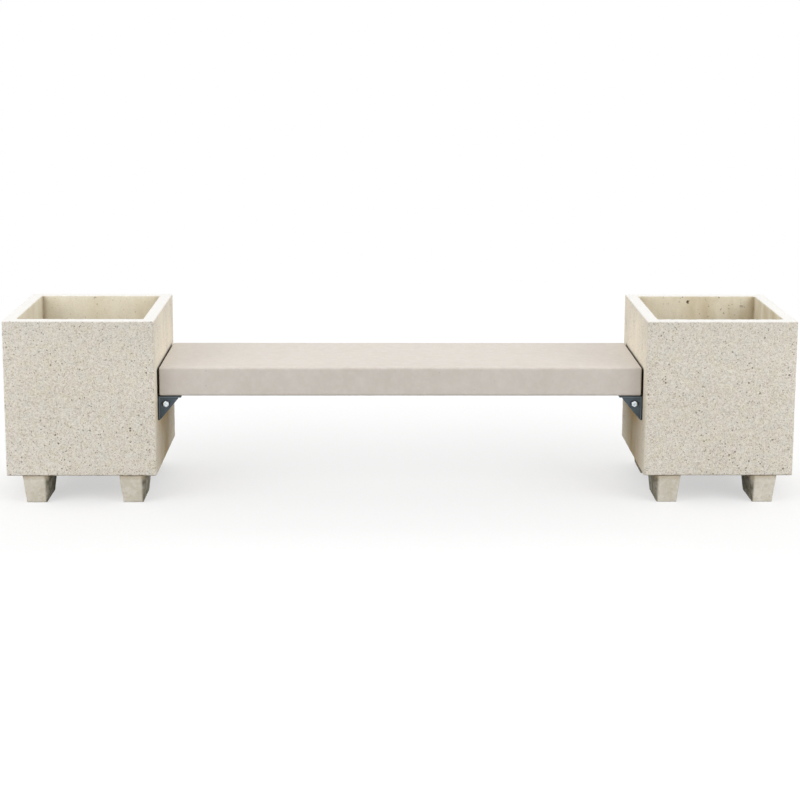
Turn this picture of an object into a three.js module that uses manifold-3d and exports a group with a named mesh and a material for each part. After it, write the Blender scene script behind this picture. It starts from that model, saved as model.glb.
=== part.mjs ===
import * as THREE from 'three';
import { mergeVertices } from 'three/addons/utils/BufferGeometryUtils.js';
import Module from 'manifold-3d';

// A street bench: a smooth concrete seat slab between two square planter boxes of washed concrete.
// Each box stands on four tapered feet. At each end the slab rests on two steel brackets, one bolted
// to the box and one to the slab, whose three-cornered ears overlap and are clamped through a slot.
// Millimetres, +Z up. The origin is on the ground under the middle of the seat; the front faces -Y.

const wasm = await Module();
wasm.setup();

// Driving dimensions
const planterWidth = 500;
const planterDepth = 500;
const planterHeight = 525; // the box alone
const footHeight = 95;
const clearSpan = 1620; // between the two boxes
const seatTop = 452; // height of the sitting surface above the ground
const seatDepth = 400;
const seatThickness = 96;
const seatEndGap = 5; // open joint between the slab's end and the box

// Clearances
const seatingGap = 0.3; // between faces that rest on each other
const boltClearance = 1; // round a bolt in a plate's hole
const cutOverrun = 3; // how far a cutting tool runs past what it cuts

// Planter box
const rimWall = 42;
const cavityDraft = 8; // the wall is this much thicker at the floor than at the rim
const floorThickness = 65;
const planterArris = 4;
const planterCornerRadius = 6;
const cavityCornerRadius = 8;
const cavityFloorFillet = 14;
const drainDiameter = 40;

// Feet
const footTopWidth = 89;
const footTopDepth = 161;
const footDraft = 10; // each side leans in this much towards the ground
const footArris = 3;
const footCornerRadius = 5;
const footSetback = 4; // from the box's front and back faces
const outerFootInset = 97; // from the box's outer face to the foot's middle
const innerFootInset = 82; // from the box's bench side to the foot's middle

// The pin cast into each foot that keys it into the box's underside
const pinDiameter = 16;
const pinHeight = 42;
const pinChamfer = 2;

// Seat slab
const seatArris = 6;
const seatCornerRadius = 7;

// Brackets, all of the same plate
const plateThickness = 4;
const padSpace = 3; // room for the rubber pad between steel and concrete
const bracketSetback = 3; // from the slab's front and back faces
const bracketReach = 78; // from the box's wall to the seat plate's far edge
const bracketDrop = 84; // from the slab's underside to the back plate's lower edge
const earSetback = 2; // from the seat plate's edge to its ear
const earReach = 68; // from the wall to the ear's far corner
const earDrop = 80; // from the slab's underside to the ear's lowest corner
const earTip = 3; // the blunt ends of the ear's two sharp corners
const innerEarInset = 4; // how much smaller the wall bracket's ear is than the seat bracket's
const seatWeldLeg = 2;
const wallWeldLeg = 3;
const slotTowardsWall = 10; // travel of the ear bolt's centre in its slot
const slotAwayFromWall = 3;
const slotClearance = 0.5;

// Fasteners
const boltDiameter = 12;
const hexAcrossFlats = 18;
const headHeight = 7.5;
const nutHeight = 10;
const washerDiameter = 24;
const washerThickness = 2.5;
const threadPastNut = 4;
const shankChamfer = 1;
const earBoltReach = 28; // from the wall
const earBoltDrop = 27; // from the slab's underside
const seatBoltReach = 52; // from the wall
const seatBoltInset = 97; // from the bracket's end
const seatBoltEngagement = 28;
const wallBoltDrop = 48; // from the slab's underside
const wallBoltInset = 67; // from the bracket's end
const wallBoltEngagement = 22;
const headCrownShare = 0.95; // the flat of a hex head's crown, of its width across flats
const crownSlope = Math.PI / 6;

// Threaded sockets cast into the concrete
const socketDiameter = 18;
const socketFootDiameter = 26; // the flange that anchors it
const socketFootThickness = 4;
const socketEndWall = 5;
const seatSocketLength = 60;
const wallSocketLength = 34;

// Fineness of round shapes
const cornerSteps = 4;
const arrisSteps = 3;
const roundSides = 16;

// Places that follow from the sizes above
const wallFace = planterWidth / 2; // the bench side of a box, in the box's own frame
const seatUnderside = seatTop - seatThickness;
const seatLength = clearSpan - 2 * seatEndGap;
const bracketLength = seatDepth - 2 * bracketSetback;
const boltRadius = boltDiameter / 2;
const boltHoleRadius = boltRadius + boltClearance;
const plateFace = padSpace + plateThickness; // the bare side of both brackets' plates
const washerSeat = plateFace + seatingGap;
const headSeat = washerSeat + washerThickness + seatingGap;
const outerEarFace = bracketLength / 2 - earSetback;
const innerEarFace = outerEarFace - plateThickness - seatingGap;
const innerWasherSeat = innerEarFace - plateThickness - seatingGap;
const nutSeat = innerWasherSeat - washerThickness - seatingGap;
const earBoltSeat = outerEarFace + seatingGap + washerThickness + seatingGap;
const earBoltLength = earBoltSeat - nutSeat + nutHeight + threadPastNut;

// Directions
const alongX = new THREE.Vector3(1, 0, 0);
const upwards = new THREE.Vector3(0, 0, 1);
const downwards = new THREE.Vector3(0, 0, -1);
const bothEnds = [-1, 1];

// Finishes
const finishes = {
  washedConcrete: { color: '#d3c9b8', roughness: 0.9, metalness: 0 },
  plainConcrete: { color: '#c9c1b0', roughness: 0.9, metalness: 0 },
  smoothConcrete: { color: '#cfc6bc', roughness: 0.75, metalness: 0 },
  paintedSteel: { color: '#45525c', roughness: 0.5, metalness: 0.3 },
  zincSteel: { color: '#cfd5d8', roughness: 0.35, metalness: 0.9 },
  rubber: { color: '#1e201f', roughness: 0.95, metalness: 0 },
};

function piece(name, geometry, finish) {
  const mesh = new THREE.Mesh(geometry, new THREE.MeshStandardMaterial(finishes[finish]));
  mesh.name = name;
  return mesh;
}

// A geometry as a solid that can be cut and joined
function solidOf(geometry) {
  const bare = geometry.clone();
  bare.deleteAttribute('normal');
  bare.deleteAttribute('uv');
  const merged = mergeVertices(bare);
  return new wasm.Manifold(new wasm.Mesh({
    numProp: 3,
    vertProperties: new Float32Array(merged.attributes.position.array),
    triVerts: new Uint32Array(merged.index.array),
  }));
}

function geometryOf(solid) {
  const mesh = solid.getMesh();
  const geometry = new THREE.BufferGeometry();
  geometry.setAttribute('position', new THREE.BufferAttribute(mesh.vertProperties, mesh.numProp));
  geometry.setIndex(new THREE.BufferAttribute(mesh.triVerts, 1));
  geometry.computeVertexNormals();
  return geometry;
}

function join(parts) {
  return geometryOf(parts.map(solidOf).reduce((whole, part) => whole.add(part)));
}

function cut(body, tools) {
  return geometryOf(tools.map(solidOf).reduce((whole, tool) => whole.subtract(tool), solidOf(body)));
}

function common(one, other) {
  return geometryOf(solidOf(one).intersect(solidOf(other)));
}

function turnTo(direction) {
  return new THREE.Quaternion().setFromUnitVectors(upwards, direction);
}

// A geometry with its +Z turned to the given direction and its origin moved to the given place
function placed(geometry, place, direction) {
  return geometry.applyQuaternion(turnTo(direction)).translate(place.x, place.y, place.z);
}

// A body turned round the Z axis from a profile of [radius, height] points
function turned(profile) {
  const points = profile.map(([radius, height]) => new THREE.Vector2(radius, height));
  return new THREE.LatheGeometry(points, roundSides).rotateX(Math.PI / 2);
}

// A plain rod that stands on the given height
function rod(radius, start, length) {
  return turned([[0, start], [radius, start], [radius, start + length], [0, start + length]]);
}

function outlineOf(points) {
  return new THREE.Shape(points.map(([x, y]) => new THREE.Vector2(x, y)));
}

function rectangle(x0, x1, y0, y1) {
  return outlineOf([[x0, y0], [x1, y0], [x1, y1], [x0, y1]]);
}

function roundHole(x, y, radius) {
  return new THREE.Path().absarc(x, y, radius, 0, 2 * Math.PI);
}

// An outline drawn in x and y, raised along Z from the given height
function raisedAlongZ(outline, holes, start, length) {
  outline.holes = holes;
  return new THREE.ExtrudeGeometry(outline, {
    depth: length, bevelEnabled: false, curveSegments: roundSides / 2,
  }).translate(0, 0, start);
}

// The same for an outline drawn in y and z, along X
function raisedAlongX(outline, holes, start, length) {
  return raisedAlongZ(outline, holes, 0, length)
    .rotateX(Math.PI / 2).rotateZ(Math.PI / 2).translate(start, 0, 0);
}

// The same for an outline drawn in x and z, along Y
function raisedAlongY(outline, holes, start, length) {
  return raisedAlongZ(outline, holes, 0, length)
    .rotateX(Math.PI / 2).translate(0, start + length, 0);
}

// Bodies with rounded corners. Their section is a list of rings from one end to the other, each given
// by its inset from the outer face, its height and its corner radius.

// An arris or fillet: an arc round (inset, z). The corner radius is as given at the inset of the face
// and changes with the inset, so that the arc keeps its size round the corners.
function edgeArc(face, faceCorner, inset, z, radius, fromDegrees, toDegrees) {
  return Array.from({ length: arrisSteps + 1 }, (_, step) => {
    const degrees = THREE.MathUtils.lerp(fromDegrees, toDegrees, step / arrisSteps);
    const angle = THREE.MathUtils.degToRad(degrees);
    const ringInset = inset + radius * Math.cos(angle);
    return {
      inset: ringInset,
      z: z + radius * Math.sin(angle),
      corner: faceCorner + face - ringInset,
    };
  });
}

function roundedRing(width, depth, radius, z) {
  const quarters = [[1, 1], [-1, 1], [-1, -1], [1, -1]];
  return quarters.flatMap(([sideX, sideY], quarter) => (
    Array.from({ length: cornerSteps + 1 }, (_, step) => {
      const angle = ((quarter + step / cornerSteps) * Math.PI) / 2;
      return [
        sideX * (width / 2 - radius) + radius * Math.cos(angle),
        sideY * (depth / 2 - radius) + radius * Math.sin(angle),
        z,
      ];
    })));
}

function bodyOfRings(width, depth, section) {
  const rings = section.map(({ inset, z, corner }) => (
    roundedRing(width - 2 * inset, depth - 2 * inset, corner, z)));
  const count = rings[0].length;
  const last = (rings.length - 1) * count;
  const index = [];
  for (let start = 0; start < last; start += count) {
    for (let point = 0; point < count; point += 1) {
      const here = start + point;
      const next = start + ((point + 1) % count);
      index.push(here, next, next + count, here, next + count, here + count);
    }
  }
  for (let point = 1; point + 1 < count; point += 1) {
    index.push(0, point + 1, point, last, last + point, last + point + 1);
  }
  const geometry = new THREE.BufferGeometry();
  geometry.setAttribute('position', new THREE.Float32BufferAttribute(rings.flat(2), 3));
  geometry.setIndex(index);
  return geometry;
}

// Fasteners and sockets, each with its seat at z = 0 and its head or mouth upwards

function hexBlock(height) {
  const hexRadius = hexAcrossFlats / Math.sqrt(3);
  const crownRadius = (headCrownShare * hexAcrossFlats) / 2;
  const block = new THREE.CylinderGeometry(hexRadius, hexRadius, height, 6);
  const crown = new THREE.CylinderGeometry(
    crownRadius, crownRadius + height / Math.tan(crownSlope), height, roundSides);
  return common(block, crown).rotateX(Math.PI / 2).translate(0, 0, height / 2);
}

function hexBolt(length) {
  const shank = turned([
    [0, -length],
    [boltRadius - shankChamfer, -length],
    [boltRadius, shankChamfer - length],
    [boltRadius, headHeight / 2],
    [0, headHeight / 2],
  ]);
  return join([shank, hexBlock(headHeight)]);
}

function hexNut() {
  return cut(hexBlock(nutHeight), [
    rod(boltRadius + seatingGap, -cutOverrun, nutHeight + 2 * cutOverrun),
  ]);
}

function washer() {
  const bore = boltRadius + boltClearance / 2;
  const rim = washerDiameter / 2;
  return turned([[bore, 0], [rim, 0], [rim, washerThickness], [bore, washerThickness], [bore, 0]]);
}

function socket(length) {
  const barrel = socketDiameter / 2;
  const flange = socketFootDiameter / 2;
  const bore = boltRadius + seatingGap;
  return turned([
    [0, -length],
    [flange, -length],
    [flange, socketFootThickness - length],
    [barrel, socketFootThickness - length],
    [barrel, 0],
    [bore, 0],
    [bore, socketEndWall - length],
    [0, socketEndWall - length],
  ]);
}

// The room that a socket takes in the concrete, open at its mouth
function socketRoom(length) {
  const barrel = socketDiameter / 2 + seatingGap;
  const flange = socketFootDiameter / 2 + seatingGap;
  return turned([
    [0, -length - seatingGap],
    [flange, -length - seatingGap],
    [flange, socketFootThickness + seatingGap - length],
    [barrel, socketFootThickness + seatingGap - length],
    [barrel, cutOverrun],
    [0, cutOverrun],
  ]);
}

// Places of the fasteners at one end of the brackets, in the frame of a seat joint: x = 0 on the
// box's wall and z = 0 on the slab's underside

function wallBoltPlace(end, x) {
  return new THREE.Vector3(x, end * (bracketLength / 2 - wallBoltInset), -wallBoltDrop);
}

function seatBoltPlace(end, z) {
  return new THREE.Vector3(seatBoltReach, end * (bracketLength / 2 - seatBoltInset), z);
}

function earBoltPlace(end, distance) {
  return new THREE.Vector3(earBoltReach, end * distance, -earBoltDrop);
}

// Planter box and feet, in the box's frame: the bench is at +X

const footPlaces = ['outer', 'inner'].flatMap((column) => bothEnds.map((row) => ({
  column,
  row,
  x: column === 'outer' ? outerFootInset - planterWidth / 2 : planterWidth / 2 - innerFootInset,
  y: row * (planterDepth / 2 - footSetback - footTopDepth / 2),
})));

function planterBox() {
  const top = footHeight + planterHeight;
  const floor = footHeight + floorThickness;
  const wallAtFloor = rimWall + cavityDraft;
  const filletCentre = wallAtFloor + cavityFloorFillet;
  const shell = bodyOfRings(planterWidth, planterDepth, [
    ...edgeArc(0, planterCornerRadius, planterArris, footHeight + planterArris, planterArris, 270, 180),
    ...edgeArc(0, planterCornerRadius, planterArris, top - planterArris, planterArris, 180, 90),
    ...edgeArc(rimWall, cavityCornerRadius, rimWall - planterArris, top - planterArris, planterArris, 90, 0),
    ...edgeArc(wallAtFloor, cavityCornerRadius, filletCentre, floor + cavityFloorFillet,
      cavityFloorFillet, 180, 270),
  ]);
  const below = footHeight - cutOverrun;
  const drain = rod(drainDiameter / 2, below, floorThickness + 2 * cutOverrun);
  const pinHoles = footPlaces.map(({ x, y }) => (
    rod(pinDiameter / 2 + seatingGap, below, cutOverrun + pinHeight + seatingGap).translate(x, y, 0)));
  const socketRooms = bothEnds.map((end) => (
    placed(socketRoom(wallSocketLength), wallBoltPlace(end, 0), alongX)
      .translate(wallFace, 0, seatUnderside)));
  return cut(shell, [drain, ...pinHoles, ...socketRooms]);
}

function foot() {
  const body = bodyOfRings(footTopWidth, footTopDepth, [
    ...edgeArc(footDraft, footCornerRadius, footDraft + footArris, footArris, footArris, 270, 180),
    { inset: 0, z: footHeight - seatingGap, corner: footCornerRadius },
  ]);
  const pinRadius = pinDiameter / 2;
  const pinTop = footHeight + pinHeight;
  const pin = turned([
    [0, footHeight / 2],
    [pinRadius, footHeight / 2],
    [pinRadius, pinTop - pinChamfer],
    [pinRadius - pinChamfer, pinTop],
    [0, pinTop],
  ]);
  return join([body, pin]);
}

// Seat joint: brackets, pads and fasteners, in the frame of the joint

// The three-cornered ear of a bracket, drawn in x and z
function earOutline(near, far, top, bottom, blunt) {
  return outlineOf([[near, top], [near, bottom], [near + earTip, bottom], [far, blunt], [far, top]]);
}

function slot(z) {
  const radius = boltRadius + slotClearance;
  return new THREE.Path()
    .absarc(earBoltReach + slotAwayFromWall, z, radius, -Math.PI / 2, Math.PI / 2)
    .absarc(earBoltReach - slotTowardsWall, z, radius, Math.PI / 2, (3 * Math.PI) / 2)
    .closePath();
}

// The upright strip under the slab's end, bolted to the box's wall, and the flat one under the slab.
// Each is a bracket's plate or a rubber pad.

function wallStrip(top, start, thickness) {
  const half = bracketLength / 2;
  const holes = bothEnds.map((end) => {
    const { y, z } = wallBoltPlace(end, 0);
    return roundHole(y, z, boltHoleRadius);
  });
  return raisedAlongX(rectangle(-half, half, -bracketDrop, top), holes, start, thickness);
}

function seatStrip(near, start, thickness) {
  const half = bracketLength / 2;
  const holes = bothEnds.map((end) => {
    const { x, y } = seatBoltPlace(end, 0);
    return roundHole(x, y, boltHoleRadius);
  });
  return raisedAlongZ(rectangle(near, bracketReach, -half, half), holes, start, thickness);
}

function seatBracket() {
  const near = plateFace + seatingGap;
  const plate = seatStrip(padSpace, -plateFace, plateThickness);
  const ears = bothEnds.map((end) => {
    const outline = earOutline(near, earReach, plateThickness / 2 - plateFace, -earDrop, -plateFace - earTip);
    const middle = end * (outerEarFace - plateThickness / 2);
    return raisedAlongY(outline, [slot(-earBoltDrop)], middle - plateThickness / 2, plateThickness);
  });
  const welds = bothEnds.map((end) => {
    const root = [end * outerEarFace, -plateFace];
    const bead = outlineOf([root, [root[0] + end * seatWeldLeg, root[1]], [root[0], root[1] - seatWeldLeg]]);
    return raisedAlongX(bead, [], near, earReach - near);
  });
  return join([plate, ...ears, ...welds]);
}

function wallBracket() {
  const top = -plateFace - seatingGap;
  const back = wallStrip(top, padSpace, plateThickness);
  const far = earReach - innerEarInset;
  const bottom = innerEarInset - earDrop;
  const ears = bothEnds.map((end) => {
    const outline = earOutline(plateFace - plateThickness / 2, far, top, bottom, top - earTip);
    const middle = end * (innerEarFace - plateThickness / 2);
    const hole = roundHole(earBoltReach, -earBoltDrop, boltHoleRadius);
    return raisedAlongY(outline, [hole], middle - plateThickness / 2, plateThickness);
  });
  const welds = bothEnds.map((end) => {
    const root = [plateFace, end * (innerEarFace - plateThickness)];
    const bead = outlineOf([root, [root[0] + wallWeldLeg, root[1]], [root[0], root[1] - end * wallWeldLeg]]);
    return raisedAlongZ(bead, [], bottom, top - bottom);
  });
  return join([back, ...ears, ...welds]);
}

// Everything at one end of the slab. `front` is the sign of the y direction that faces the front of
// the bench once the end is turned to its place.
function seatJoint(side, front) {
  const joint = new THREE.Group();
  const padThickness = padSpace - 2 * seatingGap;
  const add = (name, geometry, finish) => {
    const mesh = piece(`${side}_${name}`, geometry, finish);
    joint.add(mesh);
    return mesh;
  };
  add('wall_pad', wallStrip(-padSpace, seatingGap, padThickness), 'rubber');
  add('wall_bracket', wallBracket(), 'paintedSteel');
  add('seat_pad', seatStrip(seatEndGap, seatingGap - padSpace, padThickness), 'rubber');
  add('seat_bracket', seatBracket(), 'paintedSteel');
  bothEnds.forEach((end) => {
    const row = end === front ? 'front' : 'back';
    const outwards = new THREE.Vector3(0, end, 0);
    const inwards = outwards.clone().negate();
    const fasten = (name, geometry, place, direction) => {
      const mesh = add(`${row}_${name}`, geometry, 'zincSteel');
      mesh.position.copy(place);
      mesh.quaternion.copy(turnTo(direction));
    };
    fasten('wall_socket', socket(wallSocketLength), wallBoltPlace(end, 0), alongX);
    fasten('wall_washer', washer(), wallBoltPlace(end, washerSeat), alongX);
    fasten('wall_bolt', hexBolt(headSeat + wallBoltEngagement), wallBoltPlace(end, headSeat), alongX);
    fasten('seat_socket', socket(seatSocketLength), seatBoltPlace(end, 0), downwards);
    fasten('seat_washer', washer(), seatBoltPlace(end, -washerSeat), downwards);
    fasten('seat_bolt', hexBolt(headSeat + seatBoltEngagement), seatBoltPlace(end, -headSeat), downwards);
    fasten('outer_ear_washer', washer(), earBoltPlace(end, outerEarFace + seatingGap), outwards);
    fasten('inner_ear_washer', washer(), earBoltPlace(end, innerWasherSeat), inwards);
    fasten('ear_bolt', hexBolt(earBoltLength), earBoltPlace(end, earBoltSeat), outwards);
    fasten('ear_nut', hexNut(), earBoltPlace(end, nutSeat), inwards);
  });
  return joint;
}

// One end of the bench: a box on its feet, with the seat joint on its wall
function benchEnd({ side, turn, front }) {
  const end = new THREE.Group();
  end.add(piece(`${side}_planter_box`, planterBox(), 'washedConcrete'));
  footPlaces.forEach(({ column, row, x, y }) => {
    const name = `${side}_${row === front ? 'front' : 'back'}_${column}_foot`;
    const mesh = piece(name, foot(), 'plainConcrete');
    mesh.position.set(x, y, 0);
    end.add(mesh);
  });
  const joint = seatJoint(side, front);
  joint.position.set(wallFace, 0, seatUnderside);
  end.add(joint);
  end.rotation.z = turn;
  end.position.x = (-Math.cos(turn) * (clearSpan + planterWidth)) / 2;
  return end;
}

const benchEnds = [
  { side: 'left', turn: 0, front: -1 },
  { side: 'right', turn: Math.PI, front: 1 },
];

function seatSlab() {
  const slab = bodyOfRings(seatLength, seatDepth, [
    ...edgeArc(0, seatCornerRadius, seatArris, seatUnderside + seatArris, seatArris, 270, 180),
    ...edgeArc(0, seatCornerRadius, seatArris, seatTop - seatArris, seatArris, 180, 90),
  ]);
  const socketRooms = benchEnds.flatMap(({ turn }) => bothEnds.map((end) => (
    placed(socketRoom(seatSocketLength), seatBoltPlace(end, 0), downwards)
      .rotateZ(turn)
      .translate((-Math.cos(turn) * clearSpan) / 2, 0, seatUnderside))));
  return cut(slab, socketRooms);
}

const bench = new THREE.Group();
bench.add(...benchEnds.map(benchEnd), piece('seat_slab', seatSlab(), 'smoothConcrete'));
export default bench;
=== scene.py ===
# %% [markdown]
# # A bench between two planters
#
# This lesson dresses a measured model. The model already holds the true size and place of every piece: two
# square planter boxes of washed concrete, their eight feet, a smooth seat slab, and the steel brackets and
# bolts that carry the slab. Here each piece gets the small irregularities and the finish that make it look
# like the real thing. All lengths are in metres, the ground is at z = 0 and the front of the bench faces
# -Y.

import math

import bmesh
import bpy
from mathutils import Matrix, Vector, noise


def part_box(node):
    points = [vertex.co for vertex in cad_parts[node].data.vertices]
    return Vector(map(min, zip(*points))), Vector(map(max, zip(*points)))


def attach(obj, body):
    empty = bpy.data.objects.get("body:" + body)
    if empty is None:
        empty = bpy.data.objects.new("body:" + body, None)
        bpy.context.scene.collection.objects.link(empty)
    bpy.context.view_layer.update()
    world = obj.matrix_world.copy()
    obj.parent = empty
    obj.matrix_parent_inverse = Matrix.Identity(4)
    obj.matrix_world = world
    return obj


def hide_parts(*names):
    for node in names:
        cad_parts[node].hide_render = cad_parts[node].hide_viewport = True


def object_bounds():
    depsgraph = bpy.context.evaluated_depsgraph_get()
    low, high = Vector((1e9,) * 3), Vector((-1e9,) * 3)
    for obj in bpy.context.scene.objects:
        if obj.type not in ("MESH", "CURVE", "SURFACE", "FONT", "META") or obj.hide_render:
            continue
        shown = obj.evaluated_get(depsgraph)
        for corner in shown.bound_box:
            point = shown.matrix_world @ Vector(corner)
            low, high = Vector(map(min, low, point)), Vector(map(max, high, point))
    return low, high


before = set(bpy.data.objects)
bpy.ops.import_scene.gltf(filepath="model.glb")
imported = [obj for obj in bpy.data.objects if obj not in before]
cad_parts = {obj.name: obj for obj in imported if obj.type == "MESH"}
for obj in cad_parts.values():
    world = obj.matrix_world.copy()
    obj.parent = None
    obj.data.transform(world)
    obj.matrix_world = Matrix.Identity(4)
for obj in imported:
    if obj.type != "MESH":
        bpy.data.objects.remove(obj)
model_low, model_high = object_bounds()
millimetre = 0.001
model_size = [round(side, 3) for side in model_high - model_low]
print("measured model:", len(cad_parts), "pieces,", model_size, "m")

# %% [markdown]
# ## The camera
#
# The photograph was taken from just left of the middle, at about standing eye height, with a long lens that
# looks slightly down. The upright edges look almost parallel in it, so part of the downward look is done by
# shifting the lens and not by tilting the camera. The place and the turns below were found by fitting the
# planters' corners to the photograph.

# %% Place the camera
camera_place = Vector((-0.0745, -5.5043, 1.6817))
looking_down = math.radians(8.570)
turned_right = math.radians(0.762)
rolled = math.radians(0.185)
focal_length = 73.41  # millimetres
sensor_width = 36  # millimetres
lens_shift = -0.2  # of the picture's width
sight = 200  # far past the floor's edge

ahead_on_ground = Vector((math.sin(turned_right), math.cos(turned_right), 0))
ahead = ahead_on_ground * math.cos(looking_down) - Vector((0, 0, math.sin(looking_down)))
level_right = Vector((math.cos(turned_right), -math.sin(turned_right), 0))
level_up = level_right.cross(ahead)
camera_right = level_right * math.cos(rolled) + level_up * math.sin(rolled)
camera_up = level_up * math.cos(rolled) - level_right * math.sin(rolled)
camera_turn = Matrix((camera_right, camera_up, -ahead)).transposed().to_4x4()

camera = bpy.data.objects.new("camera", bpy.data.cameras.new("camera"))
bpy.context.scene.collection.objects.link(camera)
camera.matrix_world = Matrix.Translation(camera_place) @ camera_turn
camera.data.sensor_width = sensor_width
camera.data.lens = focal_length
camera.data.shift_y = lens_shift
camera.data.clip_end = sight
bpy.context.scene.camera = camera
print("camera", [round(value, 2) for value in camera.location], "m, lens", focal_length, "mm")

# %% [markdown]
# ## Adding nodes with one line each
#
# Finishes, light and repeated shapes are all built from nodes. Clicking them together is hard to follow in
# a script, so one helper adds a node, sets its options and fills its sockets. A socket may get a plain
# value or another node's output. The smaller helpers after it name the few nodes that come back again and
# again.

# %% Node helpers
def fill(tree, made, sockets):
    """Gives a node's sockets plain values, or links other nodes' outputs to them."""
    for socket, value in sockets.items():
        target = made.inputs[socket]
        if isinstance(value, bpy.types.NodeSocket):
            tree.links.new(value, target)
        elif target.type == "RGBA":
            target.default_value = (*value, 1)
        else:
            target.default_value = value


def node(tree, kind, sockets=None, **options):
    made = tree.nodes.new(kind)
    for option, value in options.items():
        setattr(made, option, value)
    fill(tree, made, sockets or {})
    return made


def calculate(tree, operation, *values):
    return node(tree, "ShaderNodeMath", dict(enumerate(values)), operation=operation).outputs[0]


def times(tree, *factors):
    product = factors[0]
    for factor in factors[1:]:
        product = calculate(tree, "MULTIPLY", product, factor)
    return product


def rescale(tree, value, start, end, low=0.0, high=1.0):
    limits = {"Value": value, "From Min": start, "From Max": end, "To Min": low, "To Max": high}
    return node(tree, "ShaderNodeMapRange", limits).outputs[0]


def blend(tree, share, colour, other):
    return node(tree, "ShaderNodeMix", {0: share, 6: colour, 7: other}, data_type="RGBA").outputs[2]


def mottle(tree, pattern, start, end, most, colour, other):
    """Blends the other colour in where the pattern runs from start to end, up to the share called most."""
    return blend(tree, rescale(tree, pattern, start, end, 0, most), colour, other)


def colour_band(tree, value, stops, interpolation="LINEAR"):
    made = node(tree, "ShaderNodeValToRGB", {0: value})
    band = made.color_ramp
    band.interpolation = interpolation
    band.elements.remove(band.elements[1])
    for index, (place, colour) in enumerate(stops):
        stop = band.elements[0] if index == 0 else band.elements.new(place)
        stop.position = place
        stop.color = (*colour, 1)
    return made.outputs[0]


def vectors(tree, operation, *values):
    return node(tree, "ShaderNodeVectorMath", dict(enumerate(values)), operation=operation).outputs[0]


def attribute(tree, name):
    return node(tree, "ShaderNodeAttribute", attribute_name=name).outputs["Fac"]


helpers = (fill, node, calculate, times, rescale, blend, mottle, colour_band, vectors, attribute)
print("node helpers:", ", ".join(helper.__name__ for helper in helpers))

# %% [markdown]
# ## A white floor that keeps the shadow
#
# The photograph shows the bench on pure white. The floor is a plain matt disc that shows almost white where
# the light reaches it, so the soft shadow under the planters stays. Further out it fades into the plain
# white of the world behind it, which only the camera and shiny surfaces see. A floor that glows white all
# over would be simpler, but it would show no shadow. The floor throws back little of the light, so the
# undersides stay dark.

# %% Floor
floor_radius = 30
floor_sides = 64
shadow_reach = (2.0, 4.0)  # from here to there the floor fades to pure white
white_in_shadow = 0.55  # share of pure white nearer than that
floor_throws_back = (0.3, 0.3, 0.3)
floor_shows = (0.95, 0.95, 0.95)


def seen_directly(tree):
    rays = node(tree, "ShaderNodeLightPath").outputs
    seen = calculate(tree, "MAXIMUM", rays["Is Camera Ray"], rays["Is Glossy Ray"])
    return calculate(tree, "MAXIMUM", seen, rays["Is Transmission Ray"])


floor_mesh = bpy.data.meshes.new("floor")
turns = [math.tau * side / floor_sides for side in range(floor_sides)]
rim = [(math.cos(turn) * floor_radius, math.sin(turn) * floor_radius, 0) for turn in turns]
floor_mesh.from_pydata(rim, [], [range(floor_sides)])
floor = bpy.data.objects.new("floor", floor_mesh)
bpy.context.scene.collection.objects.link(floor)

floor_finish = bpy.data.materials.new("white_floor")
floor_finish.use_nodes = True
tree = floor_finish.node_tree
tree.nodes.clear()
seen = seen_directly(tree)
where = node(tree, "ShaderNodeTexCoord").outputs["Object"]
distance = node(tree, "ShaderNodeVectorMath", {0: where}, operation="LENGTH").outputs["Value"]
fading = times(tree, seen, rescale(tree, distance, *shadow_reach, white_in_shadow, 1))
paper = blend(tree, seen, floor_throws_back, floor_shows)
matt = node(tree, "ShaderNodeBsdfDiffuse", {"Color": paper}).outputs[0]
white = node(tree, "ShaderNodeEmission", {"Color": (1, 1, 1), "Strength": 1.0}).outputs[0]
floor_look = node(tree, "ShaderNodeMixShader", {0: fading, 1: matt, 2: white}).outputs[0]
node(tree, "ShaderNodeOutputMaterial", {"Surface": floor_look})
floor_mesh.materials.append(floor_finish)
print("floor: radius", floor_radius, "m, fades to white from", shadow_reach[0], "to", shadow_reach[1], "m")

# %% [markdown]
# ## Sky and lamps
#
# The light in the photograph is bright, soft and even. A picture of a sky could light the scene, but a
# plain pale one is enough on concrete, and it adds no colour. Two large lamps in front give the boxes their
# bright fronts and a weaker one behind brightens the rims. They are just strong enough that a colour shows
# about as written.

# %% Sky and lamps
sky_light = 0.72
lamp_width = 4
lamp_height = 3
lamp_target = Vector((0, 0, 0.3))
lamps = {
    "lamp_left": ((-4.1, -3.0, 2.5), 106),  # place and watts
    "lamp_right": ((4.1, -3.0, 2.5), 106),
    "lamp_back": ((0, 3.8, 3.8), 72),
}

world = bpy.data.worlds.new("pale_sky")
world.use_nodes = True
tree = world.node_tree
tree.nodes.clear()
strength = rescale(tree, seen_directly(tree), 0, 1, sky_light, 1)
sky = node(tree, "ShaderNodeBackground", {"Color": (1, 1, 1), "Strength": strength}).outputs[0]
node(tree, "ShaderNodeOutputWorld", {"Surface": sky})
bpy.context.scene.world = world

for name, (place, watts) in lamps.items():
    lamp = bpy.data.lights.new(name, "AREA")
    lamp.shape = "RECTANGLE"
    lamp.size = lamp_width
    lamp.size_y = lamp_height
    lamp.energy = watts
    holder = bpy.data.objects.new(name, lamp)
    holder.location = place
    aim = lamp_target - holder.location
    holder.rotation_euler = aim.to_track_quat("-Z", "Y").to_euler()
    bpy.context.scene.collection.objects.link(holder)

bpy.context.scene.view_settings.view_transform = "Standard"
print("lamps:", {name: watts for name, (place, watts) in lamps.items()}, "W")

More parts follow.
